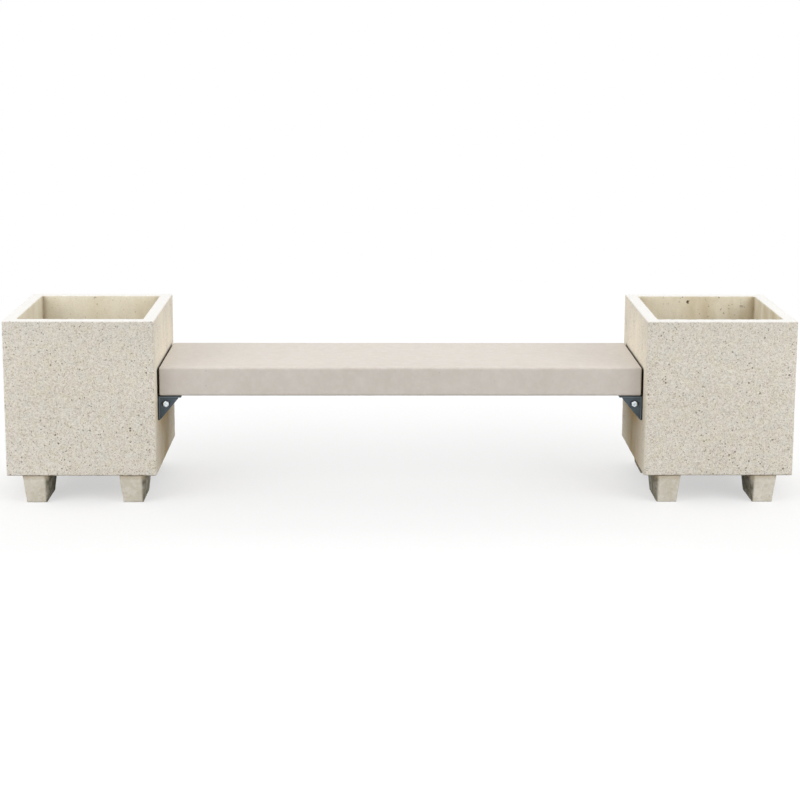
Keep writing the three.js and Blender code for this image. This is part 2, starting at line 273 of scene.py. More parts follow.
# %% [markdown]
# ## Patterns for concrete and steel
#
# Concrete has clouds, grains and runs. Photographs of it could be wrapped round the pieces, but a pattern
# computed from the place on the object has no seams and any sharpness. Noise gives clouds, cells give
# grains of sand, and noise also moves a cell's outline to and fro, because no real grain is round.

# %% Pattern helpers
def new_finish(name):
    finish = bpy.data.materials.new(name)
    finish.use_nodes = True
    tree = finish.node_tree
    where = node(tree, "ShaderNodeTexCoord").outputs["Object"]
    return finish, tree, tree.nodes["Principled BSDF"], where


def noise_at(tree, where, scale, detail, roughness=0.5):
    sockets = {"Vector": where, "Scale": scale, "Detail": detail, "Roughness": roughness}
    return node(tree, "ShaderNodeTexNoise", sockets).outputs


def clouds(tree, where, scale, detail=3, roughness=0.5):
    return noise_at(tree, where, scale, detail, roughness)[0]


def cells(tree, where, scale):
    return node(tree, "ShaderNodeTexVoronoi", {"Vector": where, "Scale": scale}).outputs


def channels(tree, colour):
    return node(tree, "ShaderNodeSeparateColor", {0: colour}).outputs


def coordinates(tree, where):
    return node(tree, "ShaderNodeSeparateXYZ", {0: where}).outputs


def bump(tree, height, depth, strength=1.0, normal=None):
    sockets = {"Strength": strength, "Distance": depth, "Height": height}
    if normal:
        sockets["Normal"] = normal
    return node(tree, "ShaderNodeBump", sockets).outputs[0]


def ragged(tree, where, scale, reach):
    """The same place, shifted to and fro, so that a round spot gets a ragged outline."""
    shift = vectors(tree, "SUBTRACT", noise_at(tree, where, scale, 1)[1], (0.5, 0.5, 0.5))
    return vectors(tree, "MULTIPLY_ADD", shift, (reach, reach, reach), where)


def stretched(tree, where, across, upwards):
    """The same place, squeezed so that a pattern on it runs in upright streaks."""
    return vectors(tree, "MULTIPLY", where, (across, across, upwards))


def sparse_grains(tree, where, scale, share, size):
    """1 inside the few cells that hold a grain, 0 elsewhere. No two grains are equally large."""
    found = cells(tree, where, scale)
    chance = channels(tree, found["Color"])
    chosen = calculate(tree, "GREATER_THAN", chance[0], 1 - share)
    grain_size = rescale(tree, chance[1], 0, 1, size * 0.5, size * 1.15)
    return times(tree, chosen, calculate(tree, "LESS_THAN", found["Distance"], grain_size))


helpers = (noise_at, clouds, cells, channels, coordinates, bump, ragged, stretched, sparse_grains)
print("pattern helpers:", ", ".join(helper.__name__ for helper in helpers))

# %% [markdown]
# ## Stains and painted shade beside the bench
#
# Rain that runs off the slab and rust off the bracket have stained the two walls that face each other.
# They are yellowed, and painted paler as well, which stands for the brighter light on these sides. Below
# the seat they are brown, partly a stain and partly painted shade under the slab, most in the middle of the
# wall. The narrow gap at the end of the slab gets painted shade, darkest where no light gets in. A painted
# mask could say where each stain belongs. The height above the ground, the distance from the wall's middle
# and a number kept at the mesh's points say it too, and need no picture.

# %% Stains and painted shade beside the bench
slab_low, slab_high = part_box("seat_slab")
wall_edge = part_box("left_planter_box")[1].y  # from the wall's middle line
full_stain = 0.04  # from the wall's middle line, as far as the stain is full
stain_heights = (0.38, 0.29)  # none above the first, full below the second
rust_heights = (0.20, 0.29)  # none below the first, full above the second
lit_gap = 12 * millimetre  # so far down light gets into the gap at the slab's end
soft_edge = 2 * millimetre
# pale yellow stain, which is also painted light on the brighter bench-facing sides
yellowed_wall_and_light = (0.97, 0.87, 0.69)
# brown stain, made darker as painted shade under the slab
brown_run_and_shade = (0.42, 0.315, 0.165)
rust_run = (0.58, 0.34, 0.07)
# painted shade in the gap at the slab's end
gap_painted_shade = (0.09, 0.072, 0.05)


def bench_side_stains_and_shade(tree, where, colour):
    """Yellow clouds with painted light, brown and rusty runs under the slab, partly painted shade,
    and painted shade in the gap at its end.
    """
    beside_bench = attribute(tree, "beside_bench")
    along_wall, height = coordinates(tree, where)[1:3]
    off_middle = calculate(tree, "ABSOLUTE", along_wall)
    runs = clouds(tree, stretched(tree, where, 11, 5.5), 1, 6, 0.62)
    # yellow runs, which also paint light onto the walls beside the bench
    yellow_and_painted_light = times(tree, rescale(tree, runs, 0.42, 0.66, 0.25, 0.75), beside_bench)
    colour = blend(tree, yellow_and_painted_light, colour, yellowed_wall_and_light)
    off_edge = rescale(tree, off_middle, wall_edge, full_stain, 0.05, 1)
    sheltered = times(tree, rescale(tree, height, *stain_heights), off_edge, beside_bench)
    # brown runs under the slab, partly stain and partly painted shade
    browned_and_shaded = times(tree, rescale(tree, runs, 0.36, 0.66, 0.62, 1), sheltered)
    colour = blend(tree, browned_and_shaded, colour, brown_run_and_shade)
    rust = rescale(tree, clouds(tree, where, 9, 4, 0.6), 0.32, 0.54, 0, 0.85)
    rust = times(tree, rust, rescale(tree, height, *rust_heights), sheltered)
    colour = blend(tree, rust, colour, rust_run)
    # painted shade in the gap at the slab's end, darkest below where light gets in
    in_gap = times(
        tree,
        rescale(tree, height, slab_high.z, slab_high.z - lit_gap, 0.1, 1),
        rescale(tree, height, slab_high.z + soft_edge, slab_high.z),
        rescale(tree, height, slab_low.z - soft_edge, slab_low.z + soft_edge / 2),
        rescale(tree, off_middle, slab_high.y + soft_edge, slab_high.y - soft_edge / 2),
        beside_bench)
    return blend(tree, in_gap, colour, gap_painted_shade)


print("stains: the gap at the slab's end runs from", round(slab_low.z, 3), "to", round(slab_high.z, 3), "m")

# %% [markdown]
# ## Washed concrete
#
# The boxes are cast in a mould and then washed while the concrete is young, which lays the sand and small
# stones bare. From far away that is a pale warm grey with a fine grain. Slow clouds tint the cement grey,
# pink and yellow, small cells stand for sand grains, and a few cells are brown or nearly black, more of
# them in some places than in others.

# %% Cement, sand and dark grains
pale_cement = (0.835, 0.785, 0.695)
deep_cement = (0.745, 0.690, 0.595)
grey_tint = (0.72, 0.74, 0.70)
pink_tint = (0.83, 0.74, 0.69)
yellow_tint = (0.79, 0.75, 0.57)
bright_speck = (0.95, 0.92, 0.85)
dull_speck = (0.54, 0.485, 0.39)
brown_grain = (0.33, 0.23, 0.14)
dark_grain = (0.12, 0.08, 0.055)
sand_share = 0.38
sand_tones = [(0.0, (0.93, 0.90, 0.83)), (0.35, (0.80, 0.75, 0.65)),
              (0.62, (0.66, 0.59, 0.48)), (0.85, (0.42, 0.36, 0.29))]

washed_concrete, tree, surface, where = new_finish("washed_concrete_look")
cement = colour_band(tree, clouds(tree, where, 3.5, 5), [(0.35, deep_cement), (0.65, pale_cement)])
tints = channels(tree, noise_at(tree, where, 38, 2)[1])
for cloud, tint in zip(tints, (grey_tint, pink_tint, yellow_tint)):
    cement = mottle(tree, cloud, 0.45, 0.72, 0.6, cement, tint)
mottling = clouds(tree, where, 105, 5, 0.7)
cement = mottle(tree, mottling, 0.5, 0.72, 0.8, cement, bright_speck)
cement = mottle(tree, mottling, 0.5, 0.3, 0.6, cement, dull_speck)
broken = ragged(tree, where, 450, 3.5 * millimetre)
sand = cells(tree, broken, 330)
cement = blend(tree, sand_share, cement, colour_band(tree, channels(tree, sand["Color"])[1], sand_tones))
brown_ones = sparse_grains(tree, broken, scale=190, share=0.22, size=0.36)
cement = blend(tree, times(tree, brown_ones, 0.65), cement, brown_grain)
crowded = rescale(tree, clouds(tree, where, 11), 0.4, 0.62, 0.25, 0.9)
for scale, share, size in ((185, 0.12, 0.37), (105, 0.045, 0.33)):
    dark_ones = sparse_grains(tree, broken, scale, share, size)
    cement = blend(tree, times(tree, dark_ones, crowded), cement, dark_grain)
cement = bench_side_stains_and_shade(tree, where, cement)
print("washed concrete so far:", len(tree.nodes), "nodes")

# %% [markdown]
# ## Rim, inside and lower edge of a box
#
# The flat rim is painted paler, which stands for the bright light on it, and painted shade darkens the
# walls towards the rim, most just under it. Inside, the box was cast against a smooth mould: it is yellower
# and also painted paler, which stands for light in the cavity; soil has left runs and a line near the top,
# dirt sits in the corners, and air bubbles have left small dark holes near the rim and a few larger ones
# right under it. The lowest edge is darker. The height and the numbers kept at the mesh's points say where
# each of these belongs.

# %% Rim, inside and lower edge
box_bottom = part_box("left_planter_box")[0].z
rim_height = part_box("left_planter_box")[1].z
# painted light: the flat rim is the same concrete, made paler for the bright light on it
rim_painted_light = (0.905, 0.90, 0.88)
# painted shade near the top of the walls
painted_shade_near_rim = (0.55, 0.52, 0.475)
# yellower inside from the smooth mould, and also painted paler as painted light in the cavity
inside_cement_and_light = (0.85, 0.80, 0.66)
soil_run = (0.50, 0.40, 0.22)
soil_line = (0.44, 0.36, 0.20)
hole_shade = (0.09, 0.065, 0.035)
corner_crust = (0.26, 0.18, 0.09)
# darker colour along the lowest edge
lowest_edge_dark = (0.36, 0.26, 0.16)

height = coordinates(tree, where)[2]
below_rim = calculate(tree, "SUBTRACT", rim_height, height)


def towards_rim(start, end, low=0.0, high=1.0):
    """Rises from low to high between two depths below the rim, in millimetres."""
    return rescale(tree, below_rim, start * millimetre, end * millimetre, low, high)


# painted shade: darker towards the rim over the top 160 mm, most just under the rim
shade_towards_rim = calculate(tree, "MAXIMUM", towards_rim(160, 10, 0, 0.19), towards_rim(16, 6, 0, 0.3))
cement = blend(tree, shade_towards_rim, cement, painted_shade_near_rim)
# the rim painted paler, as painted light
cement = blend(tree, attribute(tree, "rim"), cement, blend(tree, 0.8, cement, rim_painted_light))
# inside: yellower, and painted paler as painted light
cement = blend(tree, attribute(tree, "inside"), cement, blend(tree, 0.7, cement, inside_cement_and_light))
soiled = attribute(tree, "soiled")
runs = rescale(tree, clouds(tree, stretched(tree, where, 15, 4), 1, 5), 0.38, 0.7, 0.06, 0.75)
cement = blend(tree, times(tree, runs, soiled), cement, soil_run)
cement = blend(tree, times(tree, towards_rim(80, 10, 0, 0.2), soiled), cement, soil_line)
in_clouds = rescale(tree, clouds(tree, where, 6.2, 2), 0.34, 0.5)
holes_here = times(tree, in_clouds, towards_rim(200, 50, 0.1, 1))
air_holes = ((95, 0.14, 0.26, holes_here), (50, 0.12, 0.26, holes_here),
             (27, 0.2, 0.2, towards_rim(45, 25)))  # scale, share, size and where
for scale, share, size, place in air_holes:
    holes = sparse_grains(tree, ragged(tree, where, 220, 12 * millimetre), scale, share, size)
    cement = blend(tree, times(tree, holes, place, soiled), cement, hole_shade)
crusted = rescale(tree, clouds(tree, stretched(tree, where, 40, 9), 1), 0.35, 0.65, 0.15, 1)
cement = blend(tree, times(tree, crusted, attribute(tree, "corner_dirt")), cement, corner_crust)
# darker along the lowest 5 mm of the box
lowest_edge_darkening = rescale(tree, height, box_bottom + 0.5 * millimetre, box_bottom + 5 * millimetre, 0.45, 0)
cement = blend(tree, lowest_edge_darkening, cement, lowest_edge_dark)

grain_height = calculate(tree, "MULTIPLY_ADD", sand["Distance"], -0.8, clouds(tree, where, 420, 2))
uneven = bump(tree, clouds(tree, where, 90), 1.2 * millimetre, 0.5)
fill(tree, surface, {
    "Base Color": cement, "Normal": bump(tree, grain_height, 0.6 * millimetre, 0.6, uneven),
    "Roughness": 0.92, "Specular IOR Level": 0.3})
print("finish:", washed_concrete.name, "with", len(tree.nodes), "nodes")

# %% [markdown]
# ## The stones' finish
#
# Each exposed stone carries a number, called tone, which picks its colour from a band with hard steps: most
# are as pale as the cement, some are tan or grey, and a few nearly black. A material for each kind of stone
# would do as well, but one material with a number is easier to change. The stains run over the stones too.

# %% Finish of the stones
stone_tones = [(0.0, (0.82, 0.77, 0.68)), (0.32, (0.72, 0.66, 0.56)), (0.52, (0.95, 0.935, 0.89)),
               (0.70, (0.52, 0.42, 0.30)), (0.80, (0.38, 0.355, 0.33)), (0.965, (0.14, 0.095, 0.06))]
stone_dust = (0.78, 0.73, 0.64)

pebbles, tree, surface, where = new_finish("exposed_stones")
stone_colour = colour_band(tree, attribute(tree, "tone"), stone_tones, "CONSTANT")
stone_colour = mottle(tree, clouds(tree, where, 700, 2), 0.3, 0.7, 0.25, stone_colour, stone_dust)
stone_colour = bench_side_stains_and_shade(tree, where, stone_colour)
fill(tree, surface, {
    "Base Color": stone_colour, "Normal": bump(tree, clouds(tree, where, 1500, 2), 0.3 * millimetre, 0.4),
    "Roughness": 0.7})
print("finish:", pebbles.name, "with", len(stone_tones), "tones")

# %% [markdown]
# ## Cast concrete of the feet and the slab
#
# The feet are plain cast concrete with pores, a painted brown shade right under the box and, on the side
# that faces the bench, dark moss deepened by painted shade. The slab is cast against smooth boards, so it
# shows only faint clouds, a fine sand and a few pinholes. One shared concrete would be less work, but the
# photograph shows two clearly different surfaces.

# %% Finish of the feet
cast_tones = [(0.3, (0.65, 0.60, 0.49)), (0.7, (0.82, 0.775, 0.675))]
cast_bright = (0.92, 0.89, 0.82)
cast_dull = (0.58, 0.50, 0.37)
# dark moss, made darker as painted shade on the bench side
moss_and_painted_shade = (0.10, 0.09, 0.052)
pore_shade = (0.26, 0.22, 0.17)
under_box_shade = (0.40, 0.30, 0.18)

plain_concrete, tree, surface, where = new_finish("plain_concrete_look")
cast = colour_band(tree, clouds(tree, where, 14, 5, 0.6), cast_tones)
cast = mottle(tree, clouds(tree, where, 90, 5, 0.65), 0.5, 0.7, 0.4, cast, cast_bright)
cast = mottle(tree, clouds(tree, where, 70, 4, 0.65), 0.5, 0.32, 0.5, cast, cast_dull)
# moss clouds, which also carry painted shade on the bench side
moss = rescale(tree, clouds(tree, where, 45, 5, 0.6), 0.3, 0.6, 0.45, 0.95)
cast = blend(tree, times(tree, moss, attribute(tree, "sheltered")), cast, moss_and_painted_shade)
pitted = ragged(tree, where, 600, 2 * millimetre)
pores = sparse_grains(tree, pitted, scale=210, share=0.14, size=0.25)
cast = blend(tree, times(tree, pores, 0.6), cast, pore_shade)
height = coordinates(tree, where)[2]
cast = mottle(tree, height, box_bottom - 17 * millimetre, box_bottom - millimetre, 0.6, cast,
              under_box_shade)
foot_relief = calculate(tree, "MULTIPLY_ADD", pores, -1, clouds(tree, where, 300))
fill(tree, surface, {
    "Base Color": cast, "Normal": bump(tree, foot_relief, 0.6 * millimetre, 0.5),
    "Roughness": 0.9, "Specular IOR Level": 0.35})
print("finish:", plain_concrete.name, "with", len(tree.nodes), "nodes")

# %% Finish of the slab
slab_tones = [(0.32, (0.615, 0.562, 0.505)), (0.68, (0.665, 0.612, 0.555))]
slab_bright = (0.72, 0.67, 0.615)
slab_dull = (0.57, 0.52, 0.455)
sand_bright = (0.78, 0.735, 0.68)
sand_dull = (0.52, 0.475, 0.42)
pinhole_shade = (0.27, 0.24, 0.22)
slab_gap_shade = (0.05, 0.04, 0.03)

smooth_concrete, tree, surface, where = new_finish("smooth_concrete_look")
faint = clouds(tree, where, 2.6, 5, 0.55)
slab_colour = colour_band(tree, faint, slab_tones)
slab_colour = mottle(tree, clouds(tree, where, 42, 5, 0.65), 0.42, 0.68, 0.45, slab_colour, slab_bright)
slab_colour = mottle(tree, clouds(tree, where, 18, 4, 0.6), 0.5, 0.3, 0.35, slab_colour, slab_dull)
fine_sand = clouds(tree, where, 800, 4, 0.75)
slab_colour = mottle(tree, fine_sand, 0.52, 0.68, 0.4, slab_colour, sand_dull)
slab_colour = mottle(tree, fine_sand, 0.48, 0.32, 0.4, slab_colour, sand_bright)
pitted = ragged(tree, where, 900, millimetre)
pinholes = calculate(tree, "MAXIMUM", *(sparse_grains(tree, pitted, scale, share, 0.1)
                                        for scale, share in ((85, 0.13), (150, 0.16))))
slab_colour = blend(tree, times(tree, pinholes, 0.7), slab_colour, pinhole_shade)
slab_colour = blend(tree, attribute(tree, "in_gap"), slab_colour, slab_gap_shade)
faint_relief = times(tree, clouds(tree, where, 240), 0.3)
slab_relief = calculate(tree, "MULTIPLY_ADD", pinholes, -1.2, faint_relief)
fill(tree, surface, {
    "Base Color": slab_colour, "Normal": bump(tree, slab_relief, 0.5 * millimetre, 0.5),
    "Roughness": rescale(tree, faint, 0.3, 0.7, 0.62, 0.74), "Specular IOR Level": 0.4})
print("finish:", smooth_concrete.name, "with", len(tree.nodes), "nodes")

# %% [markdown]
# ## Steel and rubber
#
# The brackets are painted slate grey with the fine orange-peel of a baked powder, paler on a cut edge,
# where the paint is thin and a painted highlight stands for the light caught there. Where the ears overlap,
# the hidden face of the inner ear is painted nearly black as shade, so the slot shows dark. Bolts and nuts
# are zinc-plated and blotchy, with painted shade at the foot of a bolt's head. The washers are dark, and
# the pads between steel and concrete are black rubber. These are small pieces, so one or two noises each
# are enough, where a plain colour would look like plastic.

# %% Finishes of the steel and the rubber
painted_steel, tree, surface, where = new_finish("painted_steel_look")
# thin paint on cut edges, also a painted highlight
thin_paint_and_highlight = (0.125, 0.155, 0.175)
# painted shade, nearly black, on the inner ear where the outer ear covers it
overlap_painted_shade = (0.008, 0.009, 0.010)
paint_cloud = rescale(tree, clouds(tree, where, 60, 4), 0.35, 0.7)
paint = blend(tree, paint_cloud, (0.060, 0.083, 0.102), (0.078, 0.104, 0.124))
# cut edges paler: thin paint and a painted highlight
paint = blend(tree, attribute(tree, "edge"), paint, thin_paint_and_highlight)
# painted shade where the ears overlap, seen through the slot
paint = blend(tree, attribute(tree, "overlap_shade"), paint, overlap_painted_shade)
fill(tree, surface, {
    "Base Color": paint, "Normal": bump(tree, clouds(tree, where, 1100, 2), 0.2 * millimetre, 0.35),
    "Roughness": rescale(tree, clouds(tree, where, 35), 0.3, 0.7, 0.38, 0.52), "Metallic": 0.15})

zinc_steel, tree, surface, where = new_finish("zinc_steel_look")
zinc_tones = [(0.36, (0.40, 0.44, 0.48)), (0.6, (0.82, 0.87, 0.90))]
under_head_shade = (0.24, 0.26, 0.28)
blotches = clouds(tree, where, 260, 4, 0.6)
# painted shade on the lower half of a bolt's head, next to the washer
zinc = blend(tree, attribute(tree, "under_head"), colour_band(tree, blotches, zinc_tones), under_head_shade)
fill(tree, surface, {
    "Base Color": zinc, "Normal": bump(tree, clouds(tree, where, 900, 2), 0.1 * millimetre, 0.3),
    "Roughness": rescale(tree, blotches, 0.3, 0.7, 0.42, 0.28), "Metallic": 0.9})

# dark washers, which give each bolt head a dark ring
dark_washer, tree, surface, where = new_finish("dark_washer_look")
washer_mottle = rescale(tree, clouds(tree, where, 300), 0.35, 0.7)
fill(tree, surface, {
    "Base Color": blend(tree, washer_mottle, (0.045, 0.05, 0.055), (0.085, 0.09, 0.095)),
    "Normal": bump(tree, clouds(tree, where, 1000, 2), 0.1 * millimetre, 0.3),
    "Roughness": 0.5, "Metallic": 0.6})

pad_rubber, tree, surface, where = new_finish("pad_rubber_look")
rubber_cloud = rescale(tree, clouds(tree, where, 80), 0.35, 0.7)
fill(tree, surface, {
    "Base Color": blend(tree, rubber_cloud, (0.016, 0.016, 0.017), (0.034, 0.034, 0.034)),
    "Normal": bump(tree, clouds(tree, where, 800, 2), 0.2 * millimetre, 0.4),
    "Roughness": 0.85})
print("finishes:", painted_steel.name, zinc_steel.name, dark_washer.name, pad_rubber.name)

# %% [markdown]
# ## Skinning a piece through rings
#
# Everything cast in a mould here is a stack of rounded rectangles: the box, its cavity, the feet and the
# slab. A cube with a Bevel modifier would do for one of them, but the box needs a cavity with a draft, a
# rounded floor and a drain hole. So each piece is described by rings, each with the same number of points,
# and one helper skins them. The points lie closer together near the corners, where small chips need them.

# %% Ring helpers
arc_steps = 5
near_corner = (0.0015, 0.004, 0.008)  # the first points after a corner


def marks_along(length, step):
    """Places from 0 to 1 along a straight side, closer together at both ends."""
    inner = length - 2 * near_corner[-1]
    count = max(1, round(inner / step))
    middle = [near_corner[-1] + inner * index / count for index in range(1, count)]
    places = [*near_corner, *middle, *(length - place for place in reversed(near_corner))]
    return [place / length for place in places]


def rounded_ring(half_x, half_y, radius, z, marks_x, marks_y):
    """A rounded rectangle, counter-clockwise seen from above."""
    points = []
    for quarter, (sign_x, sign_y) in enumerate(((1, 1), (-1, 1), (-1, -1), (1, -1))):
        middle = Vector((sign_x * (half_x - radius), sign_y * (half_y - radius), z))
        for step in range(arc_steps + 1):
            turn = (quarter + step / arc_steps) * math.pi / 2
            points.append(middle + radius * Vector((math.cos(turn), math.sin(turn), 0)))
        if quarter % 2 == 0:
            end = Vector((-sign_x * (half_x - radius), sign_y * half_y, z))
        else:
            end = Vector((sign_x * half_x, -sign_y * (half_y - radius), z))
        start = points[-1].copy()
        points += [start.lerp(end, share) for share in (marks_x if quarter % 2 == 0 else marks_y)]
    return points


def corner_weights(marks_x, marks_y):
    """1 on the rounded corners of such a ring, 0.4 just beside them and 0 elsewhere."""
    weights = []
    for marks in (marks_x, marks_y, marks_x, marks_y):
        weights += [1.0] * (arc_steps + 1)
        weights += [0.4 if index in (0, len(marks) - 1) else 0.0 for index in range(len(marks))]
    return weights


def round_ring(like, radius, z):
    """The points of another ring, moved onto a circle."""
    middle = sum(like, Vector()) / len(like)
    moved = []
    for point in like:
        aside = (point - middle).to_2d().normalized() * radius
        moved.append(Vector((middle.x + aside.x, middle.y + aside.y, z)))
    return moved


def between_rings(ring, other, share):
    return [point.lerp(target, share) for point, target in zip(ring, other)]


def arc(*degrees):
    """Sine and cosine of each angle, for a quarter round."""
    return [(math.sin(math.radians(angle)), math.cos(math.radians(angle))) for angle in degrees]


def plan_middle(low, high):
    return Vector(((low.x + high.x) / 2, (low.y + high.y) / 2, 0))


print("points along a side of 500 mm:", len(marks_along(0.5, 6.5 * millimetre)))


# %% Mesh helpers
def skin(name, rings, loop=False):
    """A closed mesh through the rings. Rings that form no loop are capped at both ends."""
    count = len(rings[0])
    rows = len(rings)
    faces = []
    for row in range(rows if loop else rows - 1):
        low = row * count
        high = (row + 1) % rows * count
        for column in range(count):
            beside = (column + 1) % count
            faces.append((low + column, low + beside, high + beside, high + column))
    if not loop:
        faces.append(tuple(reversed(range(count))))
        faces.append(tuple(range((rows - 1) * count, rows * count)))
    mesh = bpy.data.meshes.new(name)
    mesh.from_pydata([point for ring in rings for point in ring], [], faces)
    mesh.update()
    return mesh


def keep_numbers(mesh, label, values):
    """Keeps a number at each point of the mesh, for the finish or a tree of nodes to read."""
    mesh.attributes.new(label, "FLOAT", "POINT").data.foreach_set("value", values)


slow_waves = 14  # these four are counts to the metre
quick_waves = 60
large_chips = 85
small_chips = 210


def weather(mesh, edges, waviness, chip_depth, seed):
    """Makes faces slightly uneven and breaks small chips out of the edges, always inwards."""
    shift = Vector((seed * 7.3, seed * 3.1, seed * 5.7))
    inwards = [-vertex.normal.copy() for vertex in mesh.vertices]
    for vertex, inward, edge in zip(mesh.vertices, inwards, edges):
        place = vertex.co + shift
        wave = 0.5 + 0.5 * noise.noise(place * slow_waves) + 0.25 * noise.noise(place * quick_waves)
        depth = waviness * max(0.0, wave)
        if edge > 0:
            large_chip = max(0.0, noise.noise(place * large_chips) - 0.12)
            small_chip = max(0.0, noise.noise(place * small_chips) - 0.1)
            depth += edge * (large_chip + 0.5 * small_chip) * chip_depth
        vertex.co = vertex.co + inward * depth
    mesh.update()


def smooth(mesh, sharper_than):
    mesh.shade_smooth()
    mesh.set_sharp_from_angle(angle=math.radians(sharper_than))


def count_triangles(mesh):
    return sum(len(face.vertices) - 2 for face in mesh.polygons)


def settle(piece, slot, *nodes):
    """Puts a finished piece in the scene, in the place of the measured model's own pieces."""
    bpy.context.scene.collection.objects.link(piece)
    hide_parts(*nodes)
    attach(piece, "root")
    print(piece.name, count_triangles(piece.data), "triangles")


# %% [markdown]
# ## The planter boxes
#
# A planter box is cast upside down round an inner mould, so its cavity narrows a little towards the floor
# and has rounded corners, while the outer arrises are almost sharp. The rings go round the whole wall like
# the skin of a tube: up the outside, over the rim, down the cavity, across the floor, through the drain
# hole and back under the box. Cutting the cavity out of a block would be quicker, but it leaves no tidy
# rows of points to chip. The mesh keeps a few numbers at each point, which the stones and the finish read:
# where the wall is washed, the rim, the inside and how soiled it is, its four dirty corners, and the wall
# beside the bench.

# %% Rings of a planter box
planter_arris = 4 * millimetre
planter_corner = 6 * millimetre
rim_width = 42 * millimetre
cavity_draft = 8 * millimetre
cavity_corner = 8 * millimetre
cavity_fillet = 14 * millimetre
cavity_rows = 34
floor_thickness = 65 * millimetre
drain_radius = 20 * millimetre
stone_room = 0.6 * millimetre  # the cement lies this far inside, so the stones reach the true size
wall_step = 6.5 * millimetre
near_arris = (0.0015, 0.004)  # the first rings after an arris


def planter_rings(low_z, high_z, half, marks):
    """All rings of a box round its own middle, what each one is, and how many of them are outside."""
    bottom = low_z + stone_room / 2
    top = high_z - stone_room
    floor_top = low_z + floor_thickness
    rings = []
    tags = []

    def add(points, washed=0.0, rim=0.0, inside=0.0, edge=0.0):
        rings.append(points)
        tags.append((washed, rim, inside, edge))

    def square(half_side, radius, z):
        return rounded_ring(half_side, half_side, radius, z, marks, marks)

    def outer_arris(out, z, **tag):
        inset = planter_arris * (1 - out)
        add(square(half - inset, planter_corner - inset * 0.8, z), **tag)

    for (sine, cosine), edge in zip(arc(0, 30, 60, 90), (0.6, 1.0, 1.0, 0.6)):
        outer_arris(sine, bottom + planter_arris * (1 - cosine), edge=edge)
    wall_low = bottom + planter_arris
    wall_high = top - planter_arris
    wall_rows = round((wall_high - wall_low) / wall_step)
    for place in near_arris:
        add(square(half, planter_corner, wall_low + place), washed=0.5, edge=0.2)
    for row in range(1, wall_rows):
        z = wall_low + (wall_high - wall_low) * row / wall_rows
        add(square(half, planter_corner, z), washed=1.0)
    for place in (*reversed(near_arris), 0):
        add(square(half, planter_corner, wall_high - place), washed=0.6, edge=0.3)
    for (sine, cosine), rim in zip(arc(30, 60, 90), (1 / 3, 2 / 3, 1)):
        outer_arris(cosine, wall_high + planter_arris * sine, rim=rim, edge=1.0)
    outside_rows = len(rings)

    rim_out = half - planter_arris
    rim_in = half - rim_width + planter_arris
    for share in (0.1, 0.25, 0.4, 0.6, 0.75, 0.9):
        radius = planter_corner + (cavity_corner - planter_corner) * share
        add(square(rim_out + (rim_in - rim_out) * share, radius, top), washed=0.5, rim=1.0, edge=0.1)
    for (sine, cosine), inside in zip(arc(0, 30, 60, 90), (0, 1 / 3, 2 / 3, 1)):
        points = square(rim_in - planter_arris * sine, cavity_corner, top - planter_arris * (1 - cosine))
        add(points, rim=1 - inside, inside=inside, edge=0.9)
    cavity_top = top - planter_arris
    cavity_low = floor_top + cavity_fillet
    cavity_half = half - rim_width
    for row in range(1, cavity_rows + 1):
        share = row / cavity_rows
        z = cavity_top + (cavity_low - cavity_top) * share
        add(square(cavity_half - cavity_draft * share, cavity_corner, z), inside=1.0)
    low_half = cavity_half - cavity_draft
    for sine, cosine in arc(30, 60, 90):
        z = cavity_low - cavity_fillet * sine
        add(square(low_half - cavity_fillet * (1 - cosine), cavity_corner, z), inside=1.0)

    floor_edge = rings[-1]
    drain = round_ring(floor_edge, drain_radius, floor_top)
    for share in (0.15, 0.35, 0.6, 0.85, 0.97, 1):
        add(between_rings(floor_edge, drain, share), inside=1.0)
    for share in (0.06, 0.5, 0.94, 1):
        z = floor_top + (bottom - floor_top) * share
        add(round_ring(floor_edge, drain_radius - millimetre, z), inside=1.0)
    drain_end = rings[-1]
    for share in (0.04, 0.2, 0.4, 0.6, 0.8, 0.93, 0.98):
        add(between_rings(drain_end, rings[0], share))
    return rings, tags, outside_rows


# %% The two planter boxes
soil_left_behind = {"left": 0.4, "right": 1.0}  # the right box has held more earth
dirt_reach = 9 * millimetre  # out of the cavity's corners


def planter_box(side, seed):
    name = side + "_planter_box"
    low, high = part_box(name)
    middle = plan_middle(low, high)
    half = (high.x - low.x) / 2 - stone_room
    marks = marks_along(2 * (half - planter_corner), wall_step)
    rings, tags, outside_rows = planter_rings(low.z, high.z, half, marks)
    mesh = skin(name + "_cast", [[point + middle for point in ring] for ring in rings], loop=True)
    bench_wall = -half if side == "right" else half  # x of the wall beside the bench, from the box's middle
    edges = []
    numbers = {"washed": [], "rim": [], "inside": [], "soiled": [], "corner_dirt": [], "beside_bench": []}
    for row, (washed, rim, inside, edge) in enumerate(tags):
        outside = row < outside_rows
        for place, corner in zip(rings[row], corner_weights(marks, marks)):
            corner = corner if outside else 0.0
            edges.append(max(edge, corner))
            off_corner = abs(abs(place.x) - abs(place.y))
            near_bench = outside and abs(place.x - bench_wall) < planter_arris
            numbers["washed"].append(washed * (1 - corner))
            numbers["rim"].append(rim)
            numbers["inside"].append(inside)
            numbers["soiled"].append(inside * soil_left_behind[side])
            numbers["corner_dirt"].append(inside * math.exp(-off_corner / dirt_reach))
            numbers["beside_bench"].append(1.0 if near_bench else 0.0)
    for label, values in numbers.items():
        keep_numbers(mesh, label, values)
    weather(mesh, edges, waviness=0.35 * millimetre, chip_depth=3.2 * millimetre, seed=seed)
    smooth(mesh, sharper_than=50)
    mesh.materials.append(washed_concrete)
    return bpy.data.objects.new(name + "_cast", mesh)


